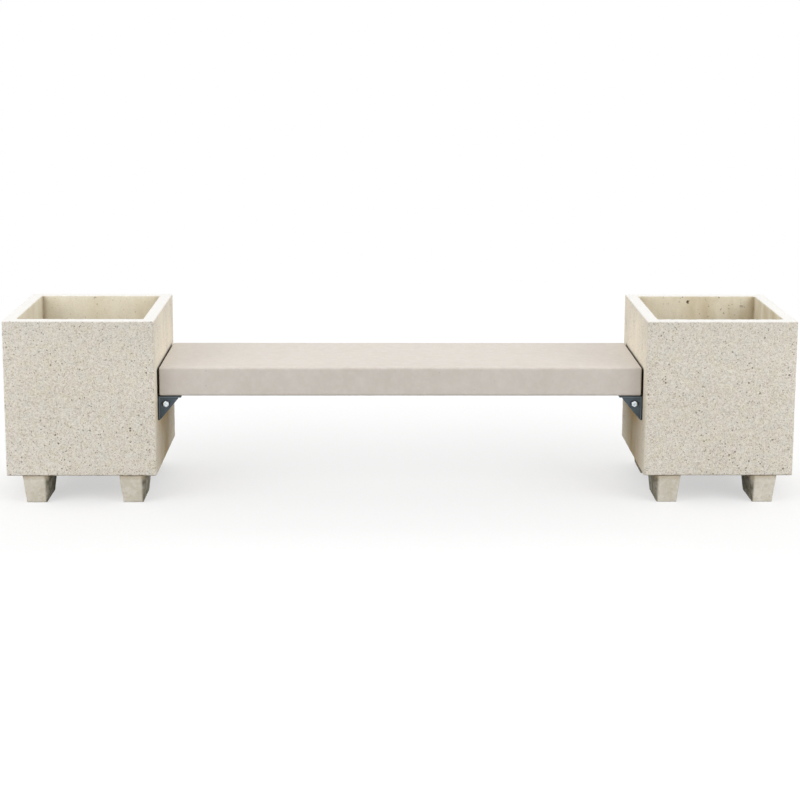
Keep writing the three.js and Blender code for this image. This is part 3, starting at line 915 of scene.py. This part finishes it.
planters = {}
for seed, side in enumerate(("left", "right"), start=1):
    planters[side] = planter_box(side, seed)
    settle(planters[side], "washed_concrete", side + "_planter_box")

# %% [markdown]
# ## Stones laid bare by washing
#
# Thousands of small stones stand a little out of the cement. Placing them by hand is out of the question,
# and a picture of them would look flat along the edges, so Geometry Nodes scatter them: points are spread
# over the washed faces so that none lie too close, each gets a random size, turn and tone, and a small
# faceted ball is pressed flat and sunk into the wall there. The instances are made real at the end, so the
# stones are a plain mesh like everything else.

# %% Helpers for geometry nodes
def new_geometry_tree(name, inputs):
    tree = bpy.data.node_groups.new(name, "GeometryNodeTree")
    tree.interface.new_socket("Geometry", in_out="INPUT", socket_type="NodeSocketGeometry")
    for label, kind in inputs:
        tree.interface.new_socket(label, in_out="INPUT", socket_type="NodeSocket" + kind)
    tree.interface.new_socket("Geometry", in_out="OUTPUT", socket_type="NodeSocketGeometry")
    return tree, node(tree, "NodeGroupInput").outputs


def named(tree, name, kind="FLOAT"):
    return node(tree, "GeometryNodeInputNamedAttribute", {"Name": name}, data_type=kind).outputs["Attribute"]


def random_number(tree, low, high, seed):
    sockets = {2: low, 3: high, "Seed": seed}
    return node(tree, "FunctionNodeRandomValue", sockets, data_type="FLOAT").outputs[1]


def spin_about_own_axis(tree, rotation, angle):
    turn = node(tree, "FunctionNodeAxisAngleToRotation", {"Axis": (0, 0, 1), "Angle": angle}).outputs[0]
    sockets = {"Rotation": rotation, "Rotate By": turn}
    return node(tree, "FunctionNodeRotateRotation", sockets, rotation_space="LOCAL").outputs[0]


def make_real(tree, geometry, finish, smoothly=False):
    """Ends a tree: instances become real, get their finish and go out."""
    real = node(tree, "GeometryNodeRealizeInstances", {"Geometry": geometry}).outputs[0]
    if smoothly:
        real = node(tree, "GeometryNodeSetShadeSmooth", {0: real}).outputs[0]
    dressed = node(tree, "GeometryNodeSetMaterial", {"Geometry": real, "Material": finish}).outputs[0]
    node(tree, "NodeGroupOutput", {"Geometry": dressed})
    print(tree.name, "has", len(tree.nodes), "nodes")


def grow(name, host_mesh, tree, values):
    """Runs a tree of geometry nodes on a mesh and returns the result as an object with a plain mesh."""
    helper = bpy.data.objects.new(name + "_helper", host_mesh)
    bpy.context.scene.collection.objects.link(helper)
    modifier = helper.modifiers.new("grow", "NODES")
    modifier.node_group = tree
    for item in tree.interface.items_tree:
        if item.in_out == "INPUT" and item.name in values:
            modifier[item.identifier] = values[item.name]
    bpy.context.view_layer.update()
    evaluated = helper.evaluated_get(bpy.context.evaluated_depsgraph_get())
    mesh = bpy.data.meshes.new_from_object(evaluated)
    mesh.name = name
    helper.modifiers.remove(modifier)
    bpy.data.objects.remove(helper)
    return bpy.data.objects.new(name, mesh)


# %% Geometry nodes that scatter the stones
flatness = 0.45  # a stone's thickness, in its radii
narrowest = 0.65  # a stone's width, in its radii

scatter, given = new_geometry_tree("scatter_stones", [
    ("Stones per square metre", "Float"), ("Least spacing", "Float"), ("Smallest radius", "Float"),
    ("Largest radius", "Float"), ("Proud height", "Float"), ("Seed", "Int"), ("Finish", "Material")])


def seed_plus(number):
    return calculate(scatter, "ADD", given["Seed"], number)


spread = node(scatter, "GeometryNodeDistributePointsOnFaces", {
    "Mesh": given["Geometry"], "Distance Min": given["Least spacing"],
    "Density Max": given["Stones per square metre"], "Density Factor": named(scatter, "washed"),
    "Seed": given["Seed"]}, distribute_method="POISSON").outputs
small_ones = calculate(scatter, "POWER", random_number(scatter, 0, 1, given["Seed"]), 2)
size_range = calculate(scatter, "SUBTRACT", given["Largest radius"], given["Smallest radius"])
stone_radius = calculate(scatter, "MULTIPLY_ADD", small_ones, size_range, given["Smallest radius"])
thickness = times(scatter, stone_radius, flatness)
marked = node(scatter, "GeometryNodeStoreNamedAttribute", {
    "Geometry": spread["Points"], "Name": "tone", "Value": random_number(scatter, 0, 1, seed_plus(11))},
    data_type="FLOAT", domain="POINT").outputs[0]
sunk = calculate(scatter, "SUBTRACT", given["Proud height"], thickness)
push = node(scatter, "ShaderNodeVectorMath", {0: spread["Normal"], "Scale": sunk}, operation="SCALE")
marked = node(scatter, "GeometryNodeSetPosition", {"Geometry": marked, "Offset": push.outputs[0]}).outputs[0]
turn = spin_about_own_axis(scatter, spread["Rotation"], random_number(scatter, 0, math.tau, seed_plus(23)))
width = times(scatter, stone_radius, random_number(scatter, narrowest, 1, seed_plus(31)))
size = node(scatter, "ShaderNodeCombineXYZ", {0: stone_radius, 1: width, 2: thickness}).outputs[0]
stone = node(scatter, "GeometryNodeMeshIcoSphere", {"Radius": 1.0, "Subdivisions": 1}).outputs[0]
placed = node(scatter, "GeometryNodeInstanceOnPoints", {
    "Points": marked, "Instance": stone, "Rotation": turn, "Scale": size}).outputs[0]
make_real(scatter, placed, given["Finish"], smoothly=True)

# %% Scatter the stones and make them a mesh of their own
for seed, (side, box) in enumerate(planters.items(), start=4):
    stones = grow(side + "_exposed_stones", box.data, scatter, {
        "Stones per square metre": 9000.0, "Least spacing": 8.5 * millimetre,
        "Smallest radius": 1.2 * millimetre, "Largest radius": 3.6 * millimetre,
        "Proud height": 0.35 * millimetre, "Seed": seed, "Finish": pebbles})
    settle(stones, "washed_concrete", side + "_planter_box")

# %% [markdown]
# ## The feet
#
# Each foot is a plain tapered block, wider at the top, with a pin on its top that sits in a hole under the
# box and is never seen. A cube with a smaller bottom face would have the taper but no rounded corners to
# chip, so the foot is skinned through rings like the box, from the sole up. The sides get a slight waviness
# and the lower arrises small chips, as on a block that has been set down on paving. The side that faces the
# bench stays damp and has gone dark with moss, and painted shade darkens it further, so each point also
# keeps how sheltered it is.

# %% Feet
foot_arris = 3 * millimetre
foot_top_arris = 0.6 * foot_arris
foot_corner = 5 * millimetre
worn_corner = 0.8 * foot_corner
foot_draft = 10 * millimetre
foot_step = 6 * millimetre
foot_rows = 14
sole_insets = (24 * millimetre, 12 * millimetre, 6 * millimetre)
pin_radius = 8 * millimetre
pin_arris = 2 * millimetre
seating_gap = 0.3 * millimetre
damp_from = 0.62  # of the way from the foot's middle to its side
damp_within = 1 / 8  # and fully damp after this much more


def tapered_foot(name, seed):
    low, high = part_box(name)
    middle = plan_middle(low, high)
    top_x = (high.x - low.x) / 2
    top_y = (high.y - low.y) / 2
    top = box_bottom - seating_gap
    marks_x = marks_along(2 * (top_x - foot_corner), foot_step)
    marks_y = marks_along(2 * (top_y - foot_corner), foot_step)
    corners = corner_weights(marks_x, marks_y)
    rings = []
    edges = []

    def add(inset, radius, z, edge):
        ring = rounded_ring(top_x - inset, top_y - inset, radius, z, marks_x, marks_y)
        rings.append([point + middle for point in ring])
        edges.extend(max(edge, corner) for corner in corners)

    for inset in sole_insets:
        add(foot_draft + inset, pin_arris, low.z, 0)
    for sine, cosine in arc(0, 30, 60, 90):
        add(foot_draft + foot_arris * (1 - sine), worn_corner, low.z + foot_arris * (1 - cosine), 0.8)
    for row in range(1, foot_rows):
        share = row / foot_rows
        z = low.z + foot_arris + (top - low.z - 2 * foot_arris) * share
        add(foot_draft * (1 - share), foot_corner, z, 0)
    for sine, cosine in arc(30, 60, 90):
        add(foot_top_arris * (1 - cosine), worn_corner, top - foot_top_arris * (1 - sine), 0.5)
    flat_top = rings[-1]
    pin = round_ring(flat_top, pin_radius, top)
    pin_rings = [between_rings(flat_top, pin, share) for share in (0.3, 0.7, 1)]
    pin_rings.append(round_ring(pin, pin_radius, high.z - pin_arris))
    pin_rings.append(round_ring(pin, pin_radius - pin_arris, high.z))
    edges.extend(0.0 for ring in pin_rings for point in ring)
    mesh = skin(name + "_block", rings + pin_rings)
    towards_bench = 1 if middle.x < 0 else -1
    asides = [(vertex.co.x - middle.x) * towards_bench / top_x for vertex in mesh.vertices]
    # the bench side: damp and mossy, and in painted shade
    damp = [min(1.0, max(0.0, (aside - damp_from) / damp_within)) for aside in asides]
    keep_numbers(mesh, "sheltered", damp)
    weather(mesh, edges, waviness=0.5 * millimetre, chip_depth=2.6 * millimetre, seed=seed)
    smooth(mesh, sharper_than=50)
    mesh.materials.append(plain_concrete)
    return bpy.data.objects.new(name + "_block", mesh)


foot_names = [f"{side}_{row}_{column}_foot" for side in ("left", "right")
              for row in ("front", "back") for column in ("outer", "inner")]
for seed, name in enumerate(foot_names, start=10):
    settle(tapered_foot(name, seed), "plain_concrete", name)

# %% [markdown]
# ## The seat slab
#
# The seat is one long block cast against smooth boards, with all its edges rounded so that nobody sits on a
# sharp arris. A bevelled cube would be quick, but rings allow the faint unevenness that breaks up the long
# straight highlights. The rings start under the slab, go round its lower edge, up the sides and over the
# top. The ends keep a number too, because the slab's end faces are dark in the gap beside the boxes.

# %% Seat slab
slab_arris = 6 * millimetre
slab_corner = 7 * millimetre
least_corner = 2 * millimetre
slab_step = 14 * millimetre
slab_insets = [inset * millimetre for inset in (6, 9, 16, 30, 50, 75, 100, 125, 150, 170, 186)]
slab_side = (0.03, 0.1, 0.25, 0.4, 0.55, 0.7, 0.85, 0.97)  # shares of the upright side's height
slab_wear = 0.35
dark_within = 1.5  # millimetres from the slab's ends

half_x = (slab_high.x - slab_low.x) / 2
half_y = (slab_high.y - slab_low.y) / 2
marks_x = marks_along(2 * (half_x - slab_corner), slab_step)
marks_y = marks_along(2 * (half_y - slab_corner), slab_step)
section = [(inset, slab_low.z, 0.0) for inset in reversed(slab_insets)]  # inset, height and wear
for sine, cosine in arc(15, 35, 55, 75, 90):
    section.append((slab_arris * (1 - sine), slab_low.z + slab_arris * (1 - cosine), slab_wear))
upright_side = slab_high.z - slab_low.z - 2 * slab_arris
section += [(0, slab_low.z + slab_arris + upright_side * share, 0.0) for share in slab_side]
for sine, cosine in arc(0, 15, 35, 55, 75):
    section.append((slab_arris * (1 - cosine), slab_high.z - slab_arris * (1 - sine), slab_wear))
section += [(inset, slab_high.z, 0.0) for inset in slab_insets]

rings = []
for inset, z, wear in section:
    radius = max(slab_corner - inset, least_corner)
    rings.append(rounded_ring(half_x - inset, half_y - inset, radius, z, marks_x, marks_y))
slab_mesh = skin("seat_slab_cast", rings)
past_end = [(abs(vertex.co.x) - half_x) / millimetre + dark_within for vertex in slab_mesh.vertices]
keep_numbers(slab_mesh, "in_gap", [min(1.0, max(0.0, share)) for share in past_end])
edges = [wear for inset, z, wear in section for point in rings[0]]
weather(slab_mesh, edges, waviness=0.3 * millimetre, chip_depth=1.6 * millimetre, seed=30)
smooth(slab_mesh, sharper_than=50)
slab_mesh.materials.append(smooth_concrete)
settle(bpy.data.objects.new("seat_slab_cast", slab_mesh), "smooth_concrete", "seat_slab")

# %% [markdown]
# ## Plates cut from an outline
#
# Brackets are cut from 4 mm steel plate and the rubber pads from sheet. A flat curve is the natural way to
# draw them: an outline with holes, filled, given a thickness and a small rounded edge, and then made a
# mesh. The curve is drawn smaller by the width of the rounding, so the plate keeps its true size. Each
# plate is drawn lying down and then stood up into its place, measured from the point where wall and slab
# meet. The paint is thinner and paler on a cut edge, partly a painted highlight, so the mesh remembers
# which points lie on one.

# %% Plate helpers
def arc_points(x, y, radius, turns):
    return [(x + radius * math.cos(turn), y + radius * math.sin(turn)) for turn in turns]


def circle_outline(x, y, radius, steps=24):
    return arc_points(x, y, radius, [math.tau * step / steps for step in range(steps)])


def slot_outline(start, end, y, radius, steps=12):
    right_turns = [-math.pi / 2 + math.pi * step / steps for step in range(steps + 1)]
    left_turns = [math.pi / 2 + math.pi * step / steps for step in range(steps + 1)]
    return arc_points(end, y, radius, right_turns) + arc_points(start, y, radius, left_turns)


def rectangle_outline(x0, x1, y0, y1):
    return [(x0, y0), (x1, y0), (x1, y1), (x0, y1)]


def plate_mesh(outline, holes, thickness, rounding):
    """A plate lying on its side of the curve, with 1 in the attribute edge wherever it isn't flat."""
    curve = bpy.data.curves.new("plate", "CURVE")
    curve.dimensions = "2D"
    curve.fill_mode = "BOTH"
    curve.extrude = thickness / 2 - rounding
    curve.bevel_depth = rounding
    curve.bevel_resolution = 1
    curve.offset = -rounding
    for corners in [outline] + [hole[::-1] for hole in holes]:
        spline = curve.splines.new("POLY")
        spline.points.add(len(corners) - 1)
        for point, (x, y) in zip(spline.points, corners):
            point.co = (x, y, 0, 1)
        spline.use_cyclic_u = True
    holder = bpy.data.objects.new("plate", curve)
    bpy.context.scene.collection.objects.link(holder)
    mesh = bpy.data.meshes.new_from_object(holder.evaluated_get(bpy.context.evaluated_depsgraph_get()))
    bpy.data.objects.remove(holder)
    flat = thickness / 2 - rounding / 20
    keep_numbers(mesh, "edge", [0.0 if abs(vertex.co.z) > flat else 1.0 for vertex in mesh.vertices])
    return mesh


def lying(z):
    """Outline x, y; the plate's middle at height z."""
    return Matrix.Translation((0, 0, z))


def against_wall(x):
    """Outline y, z; the plate's middle at distance x from the wall."""
    return Matrix(((0, 0, 1, x), (1, 0, 0, 0), (0, 1, 0, 0), (0, 0, 0, 1)))


def upright(y):
    """Outline x, z; the plate's middle at y."""
    return Matrix(((1, 0, 0, 0), (0, 0, -1, y), (0, 1, 0, 0), (0, 0, 0, 1)))


print("points of a round hole:", len(circle_outline(0, 0, 1)))

# %% [markdown]
# ## Brackets and pads
#
# Each end of the slab hangs on two brackets. One is bolted to the box's wall and has two three-cornered
# ears. The other is bolted under the slab, and its ears overlap the first one's from outside. A bolt
# through both clamps them together, and a slot in the outer ear lets the slab be shifted a little while it
# is set level. A bent plate would save the welds, but the photograph shows sharp corners. The sizes below
# are the measured model's own, from the corner between wall and slab.

# %% Sizes of the brackets
plate_thickness = 4 * millimetre
half_plate = plate_thickness / 2
plate_rounding = 0.7 * millimetre
pad_space = 3 * millimetre
pad_thickness = pad_space - 2 * seating_gap
pad_rounding = 0.9 * millimetre
pad_inset = 5 * millimetre
bracket_reach = 78 * millimetre
bracket_drop = 84 * millimetre
ear_reach = 68 * millimetre
ear_drop = 80 * millimetre
ear_tip = 3 * millimetre
inner_ear_inset = 4 * millimetre
bolt_hole = 7 * millimetre
slot_radius = 6.5 * millimetre
slot_in = 10 * millimetre  # from the bolt towards the wall
slot_out = 3 * millimetre  # from the bolt away from the wall
ear_bolt_reach = 28 * millimetre
ear_bolt_drop = 27 * millimetre
seat_bolt_reach = 52 * millimetre
wall_bolt_drop = 48 * millimetre
plate_face = pad_space + plate_thickness


def middle_y(name):
    low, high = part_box(name)
    return (low.y + high.y) / 2


bracket_low, bracket_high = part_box("left_wall_bracket")
half_bracket = (bracket_high.y - bracket_low.y) / 2
outer_ear = half_bracket - 2 * millimetre
inner_ear = outer_ear - plate_thickness - seating_gap
wall_bolt_side = middle_y("left_back_wall_bolt")
seat_bolt_side = middle_y("left_back_seat_bolt")
wall_holes = [circle_outline(side * wall_bolt_side, -wall_bolt_drop, bolt_hole) for side in (-1, 1)]
seat_holes = [circle_outline(seat_bolt_reach, side * seat_bolt_side, bolt_hole) for side in (-1, 1)]

half_turn = Matrix.Rotation(math.pi, 4, "Z")
ends = {
    "left": Matrix.Translation((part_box("left_planter_box")[1].x, 0, slab_low.z)),
    "right": Matrix.Translation((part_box("right_planter_box")[0].x, 0, slab_low.z)) @ half_turn,
}
print("bracket:", round(2 * half_bracket / millimetre), "mm long, in", len(ends), "places")


# %% Brackets and pads at both ends
def ear_outline(near, far, top, bottom, blunt):
    return [(near, bottom), (near + ear_tip, bottom), (far, blunt), (far, top), (near, top)]


def seat_bracket_plates():
    outline = rectangle_outline(pad_space, bracket_reach, -half_bracket, half_bracket)
    flat = plate_mesh(outline, seat_holes, plate_thickness, plate_rounding)
    plates = [(flat, lying(-pad_space - half_plate))]
    outline = ear_outline(plate_face + seating_gap, ear_reach, -pad_space - half_plate, -ear_drop,
                          -plate_face - ear_tip)
    slot = slot_outline(ear_bolt_reach - slot_in, ear_bolt_reach + slot_out, -ear_bolt_drop, slot_radius)
    for side in (-1, 1):
        ear = plate_mesh(outline, [slot], plate_thickness, plate_rounding)
        plates.append((ear, upright(side * (outer_ear - half_plate))))
    return plates


def wall_bracket_plates():
    top = -plate_face - seating_gap
    outline = rectangle_outline(-half_bracket, half_bracket, -bracket_drop, top)
    back = plate_mesh(outline, wall_holes, plate_thickness, plate_rounding)
    plates = [(back, against_wall(pad_space + half_plate))]
    outline = ear_outline(pad_space + half_plate, ear_reach - inner_ear_inset, top,
                          inner_ear_inset - ear_drop, top - ear_tip)
    hole = circle_outline(ear_bolt_reach, -ear_bolt_drop, bolt_hole)
    for side in (-1, 1):
        ear = plate_mesh(outline, [hole], plate_thickness, plate_rounding)
        plates.append((ear, upright(side * (inner_ear - half_plate))))
    return plates


def seat_pad_plates():
    outline = rectangle_outline(pad_inset, bracket_reach, -half_bracket, half_bracket)
    return [(plate_mesh(outline, seat_holes, pad_thickness, pad_rounding), lying(-pad_space / 2))]


def wall_pad_plates():
    outline = rectangle_outline(-half_bracket, half_bracket, -bracket_drop, -pad_space)
    return [(plate_mesh(outline, wall_holes, pad_thickness, pad_rounding), against_wall(pad_space / 2))]


def weld_together(name, plates, finish):
    """One mesh of several placed plates, with 1 in the attribute overlap_shade where the ears overlap."""
    together = bmesh.new()
    for mesh, place in plates:
        mesh.transform(place)
        together.from_mesh(mesh)
        bpy.data.meshes.remove(mesh)
    bmesh.ops.remove_doubles(together, verts=together.verts, dist=1e-6)
    made = bpy.data.meshes.new(name)
    together.to_mesh(made)
    together.free()
    # marks the inner ears' outer faces for painted shade
    off_ear = [abs(abs(vertex.co.y) - inner_ear) for vertex in made.vertices]
    keep_numbers(made, "overlap_shade", [1.0 if distance < 0.1 * millimetre else 0.0 for distance in off_ear])
    smooth(made, sharper_than=50)
    made.materials.clear()
    made.materials.append(finish)
    return bpy.data.objects.new(name, made)


for side, place in ends.items():
    for name, plates, finish, slot in (
        ("seat_bracket", seat_bracket_plates(), painted_steel, "painted_steel"),
        ("wall_bracket", wall_bracket_plates(), painted_steel, "painted_steel"),
        ("seat_pad", seat_pad_plates(), pad_rubber, "pad_rubber"),
        ("wall_pad", wall_pad_plates(), pad_rubber, "pad_rubber"),
    ):
        stood = [(mesh, place @ own) for mesh, own in plates]
        settle(weld_together(f"{side}_{name}_cut", stood, finish), slot, f"{side}_{name}")

# %% [markdown]
# ## Weld beads
#
# Each ear is welded to its plate along one edge. A weld bead follows that edge and ripples a little,
# because it is laid drop by drop. A row of squashed balls would do, but Geometry Nodes suit it well: a
# straight edge becomes a curve, the curve gets many points, its thickness swells and shrinks along the way,
# and a small round section is drawn along it.

# %% Geometry nodes for a weld bead
points_per_ripple = 5
bead_sides = 10

beads, given = new_geometry_tree("lay_weld_bead", [
    ("Bead radius", "Float"), ("Ripple length", "Float"), ("Ripple share", "Float"), ("Finish", "Material")])
path = node(beads, "GeometryNodeMeshToCurve", {0: given["Geometry"]}).outputs[0]
step = calculate(beads, "DIVIDE", given["Ripple length"], points_per_ripple)
path = node(beads, "GeometryNodeResampleCurve", {"Curve": path, "Length": step}, mode="LENGTH").outputs[0]
along = node(beads, "GeometryNodeSplineParameter").outputs["Length"]
phase = times(beads, calculate(beads, "DIVIDE", along, given["Ripple length"]), math.tau)
ripple = calculate(beads, "MULTIPLY_ADD", calculate(beads, "SINE", phase), given["Ripple share"], 1)
width = times(beads, ripple, given["Bead radius"])
section = node(beads, "GeometryNodeCurvePrimitiveCircle", {"Resolution": bead_sides, "Radius": 1}).outputs[0]
bead = node(beads, "GeometryNodeCurveToMesh", {
    "Curve": path, "Profile Curve": section, "Scale": width, "Fill Caps": True}).outputs[0]
make_real(beads, bead, given["Finish"])

# %% Lay the weld beads
weld_margin = 3 * millimetre
ripple_length = 2.4 * millimetre
bead_radii = {"seat": 1.7 * millimetre, "wall": 2.6 * millimetre}


def edges_mesh(name, lines, place):
    mesh = bpy.data.meshes.new(name)
    points = [place @ Vector(point) for line in lines for point in line]
    mesh.from_pydata(points, [(2 * index, 2 * index + 1) for index in range(len(lines))], [])
    return mesh


def seat_weld(ear):
    y = ear * outer_ear
    return (plate_face + weld_margin, y, -plate_face), (ear_reach - weld_margin, y, -plate_face)


def wall_weld(ear):
    y = ear * (inner_ear - plate_thickness)
    low = inner_ear_inset - ear_drop + weld_margin
    return (plate_face, y, low), (plate_face, y, -plate_face - weld_margin)


for side, place in ends.items():
    for name, weld in (("seat", seat_weld), ("wall", wall_weld)):
        line_mesh = edges_mesh(name, [weld(ear) for ear in (-1, 1)], place)
        welds = grow(f"{side}_{name}_bracket_welds", line_mesh, beads, {
            "Bead radius": bead_radii[name], "Ripple length": ripple_length, "Ripple share": 0.08,
            "Finish": painted_steel})
        smooth(welds.data, sharper_than=50)
        settle(welds, "painted_steel", f"{side}_{name}_bracket")

# %% [markdown]
# ## Bolts, nuts and washers
#
# One bolt of each kind is modelled well and then put wherever the measured model has one. The hexagon is
# cut off round at its corners, because a bolt's head is turned to a shallow cone after it is pressed. The
# thread is a shank whose radius rises and falls along a helix. A Screw modifier could wind it too, but
# rings make it one closed skin with the head. The washers and nuts are skins round a hole.

# %% Sizes and rings of the fasteners
fastener_sides = 24
bolt_radius = 6 * millimetre
across_flats = 18 * millimetre
head_height = 7.5 * millimetre
head_dome = 0.8 * millimetre  # a pressed head's top is slightly rounded
nut_height = 10 * millimetre
washer_radius = 12 * millimetre
washer_thickness = 2.5 * millimetre
washer_hole = 6.5 * millimetre
washer_rounding = 0.3 * millimetre
thread_pitch = 1.75 * millimetre
thread_depth = 0.9 * millimetre
thread_chamfer = 0.9 * millimetre
thread_runout = 1.5 * millimetre
tip_radius = bolt_radius - 1.6 * millimetre
head_foot = 0.4 * millimetre
nut_chamfer = 0.6 * millimetre
rings_per_pitch = 6
longest_thread = 20 * millimetre
play = 0.1 * millimetre
crown_slope = math.tan(math.radians(30))
crown_radius = across_flats / 2 * 0.95
turns = [math.tau * side / fastener_sides for side in range(fastener_sides)]


def circle_ring(radius, z):
    return [Vector((radius * math.cos(turn), radius * math.sin(turn), z)) for turn in turns]


def turned_rings(*profile):
    """Rings of a turned shape, from pairs of radius and height."""
    return [circle_ring(radius, z) for radius, z in profile]


def hexagon_ring(z, crown=0):
    """A hexagon with flats on X. With crown 1 or -1 its corners are turned off at the top or the bottom."""
    points = []
    for turn in turns:
        off_middle = (math.degrees(turn) + 30) % 60 - 30
        reach = across_flats / 2 / math.cos(math.radians(off_middle))
        drop = max(0.0, reach - crown_radius) * crown_slope
        points.append(Vector((reach * math.cos(turn), reach * math.sin(turn), z - crown * drop)))
    return points


def thread_ring(z):
    points = []
    for turn in turns:
        phase = (z / thread_pitch - turn / math.tau) % 1
        radius = bolt_radius - thread_depth * abs(2 * phase - 1)
        points.append(Vector((radius * math.cos(turn), radius * math.sin(turn), z)))
    return points


print("bolt head:", round(across_flats / millimetre), "mm across flats")


# %% Shapes of the fasteners
def bolt_mesh(name, shank):
    threaded = min(shank * 0.7, longest_thread)
    thread_start = thread_chamfer - shank
    steps = round(threaded / thread_pitch * rings_per_pitch)
    plain_radius = bolt_radius - play
    dome_start = head_height - head_dome
    rings = turned_rings((tip_radius, -shank), (bolt_radius - thread_depth, thread_start))
    rings += [thread_ring(thread_start + threaded * step / steps) for step in range(1, steps)]
    rings += turned_rings(
        (plain_radius, -shank + threaded + thread_runout), (plain_radius, 0), (crown_radius, 0))
    rings += [hexagon_ring(head_foot), hexagon_ring(dome_start, crown=1)]
    rings += turned_rings(
        (crown_radius, dome_start), (crown_radius * 0.8, head_height - 0.5 * head_dome),
        (crown_radius * 0.5, head_height - 0.15 * head_dome), (crown_radius * 0.2, head_height))
    mesh = skin(name, rings)
    heights = [vertex.co.z for vertex in mesh.vertices]
    # the lower half of the head gets painted shade in the finish
    keep_numbers(mesh, "under_head", [1.0 if 0 <= height < head_height / 2 else 0.0 for height in heights])
    smooth(mesh, sharper_than=28)
    return mesh


def nut_mesh(name):
    rings = turned_rings((bolt_radius + play, 0), (crown_radius, 0))
    rings += [hexagon_ring(0, crown=-1), hexagon_ring(nut_height, crown=1)]
    rings += turned_rings(
        (crown_radius, nut_height), (bolt_radius + play + nut_chamfer, nut_height),
        (bolt_radius + play, nut_height - nut_chamfer))
    mesh = skin(name, rings, loop=True)
    smooth(mesh, sharper_than=28)
    return mesh


def washer_mesh(name):
    soft = washer_rounding
    rings = turned_rings(
        (washer_hole + soft, 0), (washer_radius - soft, 0), (washer_radius, soft),
        (washer_radius, washer_thickness - soft), (washer_radius - soft, washer_thickness),
        (washer_hole + soft, washer_thickness), (washer_hole, washer_thickness - soft), (washer_hole, soft))
    mesh = skin(name, rings, loop=True)
    smooth(mesh, sharper_than=50)
    return mesh


# %% Geometry nodes that set a fastener on each point
fasten, given = new_geometry_tree("set_fasteners", [
    ("Fastener", "Object"), ("Turned by", "Float"), ("Finish", "Material")])
master = node(fasten, "GeometryNodeObjectInfo", {"Object": given["Fastener"], "As Instance": True})
facing = node(fasten, "FunctionNodeAlignRotationToVector", {
    "Vector": named(fasten, "facing", "FLOAT_VECTOR")}, axis="Z").outputs[0]
other_way = times(fasten, given["Turned by"], -1)
own_turn = random_number(fasten, other_way, given["Turned by"], 3)
placed = node(fasten, "GeometryNodeInstanceOnPoints", {
    "Points": given["Geometry"], "Instance": master.outputs["Geometry"],
    "Rotation": spin_about_own_axis(fasten, facing, own_turn)}).outputs[0]
make_real(fasten, placed, given["Finish"])

# %% Set all fasteners
most_turned = 0.12  # radians, because no fitter turns every head to the same angle


def length_along(low, high, way):
    return (high - low).dot(Vector(abs(part) for part in way))


def seat_of(name, way, height):
    """The point on which the fastener rests: its far end, less its own height."""
    low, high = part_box(name)
    return (low + high) / 2 + way * (length_along(low, high, way) / 2 - height)


def ways_of(kind, ending):
    """The measured pieces with this ending, each with the way in which its outer end faces."""
    found = {}
    for side, from_wall in (("left", 1), ("right", -1)):
        for row, out in (("front", -1), ("back", 1)):
            ways = {"wall": (from_wall, 0, 0), "seat": (0, 0, -1),
                    "outer": (0, out, 0), "inner": (0, -out, 0)}
            found[f"{side}_{row}_{ending}"] = Vector(ways[kind])
    return found


def set_fasteners(name, mesh, height, ways, slot, finish):
    host = bpy.data.meshes.new(name + "_places")
    host.from_pydata([seat_of(piece, way, height) for piece, way in ways.items()], [], [])
    facing = host.attributes.new("facing", "FLOAT_VECTOR", "POINT")
    facing.data.foreach_set("vector", [part for way in ways.values() for part in way])
    master = bpy.data.objects.new(name + "_master", mesh)
    bpy.context.scene.collection.objects.link(master)
    made = grow(name, host, fasten, {"Fastener": master, "Turned by": most_turned, "Finish": finish})
    bpy.data.objects.remove(master)
    settle(made, slot, *ways)


bolt_ways = {"wall_bolts": ways_of("wall", "wall_bolt"), "seat_bolts": ways_of("seat", "seat_bolt"),
             "ear_bolts": ways_of("outer", "ear_bolt")}
for name, ways in bolt_ways.items():
    first, way = next(iter(ways.items()))
    shank = length_along(*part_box(first), way) - head_height
    set_fasteners(name, bolt_mesh(name, shank), head_height, ways, "zinc_steel", zinc_steel)
nut_ways = ways_of("inner", "ear_nut")
set_fasteners("ear_nuts", nut_mesh("ear_nut"), nut_height, nut_ways, "zinc_steel", zinc_steel)
washer_ways = {**ways_of("wall", "wall_washer"), **ways_of("seat", "seat_washer"),
               **ways_of("outer", "outer_ear_washer"), **ways_of("inner", "inner_ear_washer")}
set_fasteners("washers", washer_mesh("washer"), washer_thickness, washer_ways, "dark_washer", dark_washer)

# %% [markdown]
# ## The sockets inside the concrete
#
# The threaded sockets that the bolts screw into are cast into the concrete and never show. They could be
# modelled again with a thread, but nobody would see it, so the measured model's own sockets stay as they
# are and only get the zinc finish.

# %% Sockets
sockets = [piece for name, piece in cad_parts.items() if name.endswith("_socket")]
for piece in sockets:
    piece.data.materials.clear()
    piece.data.materials.append(zinc_steel)
print("sockets:", len(sockets))

# %% Print the measured model's bounds
print("measured", [round(value, 4) for value in (*model_low, *model_high)])
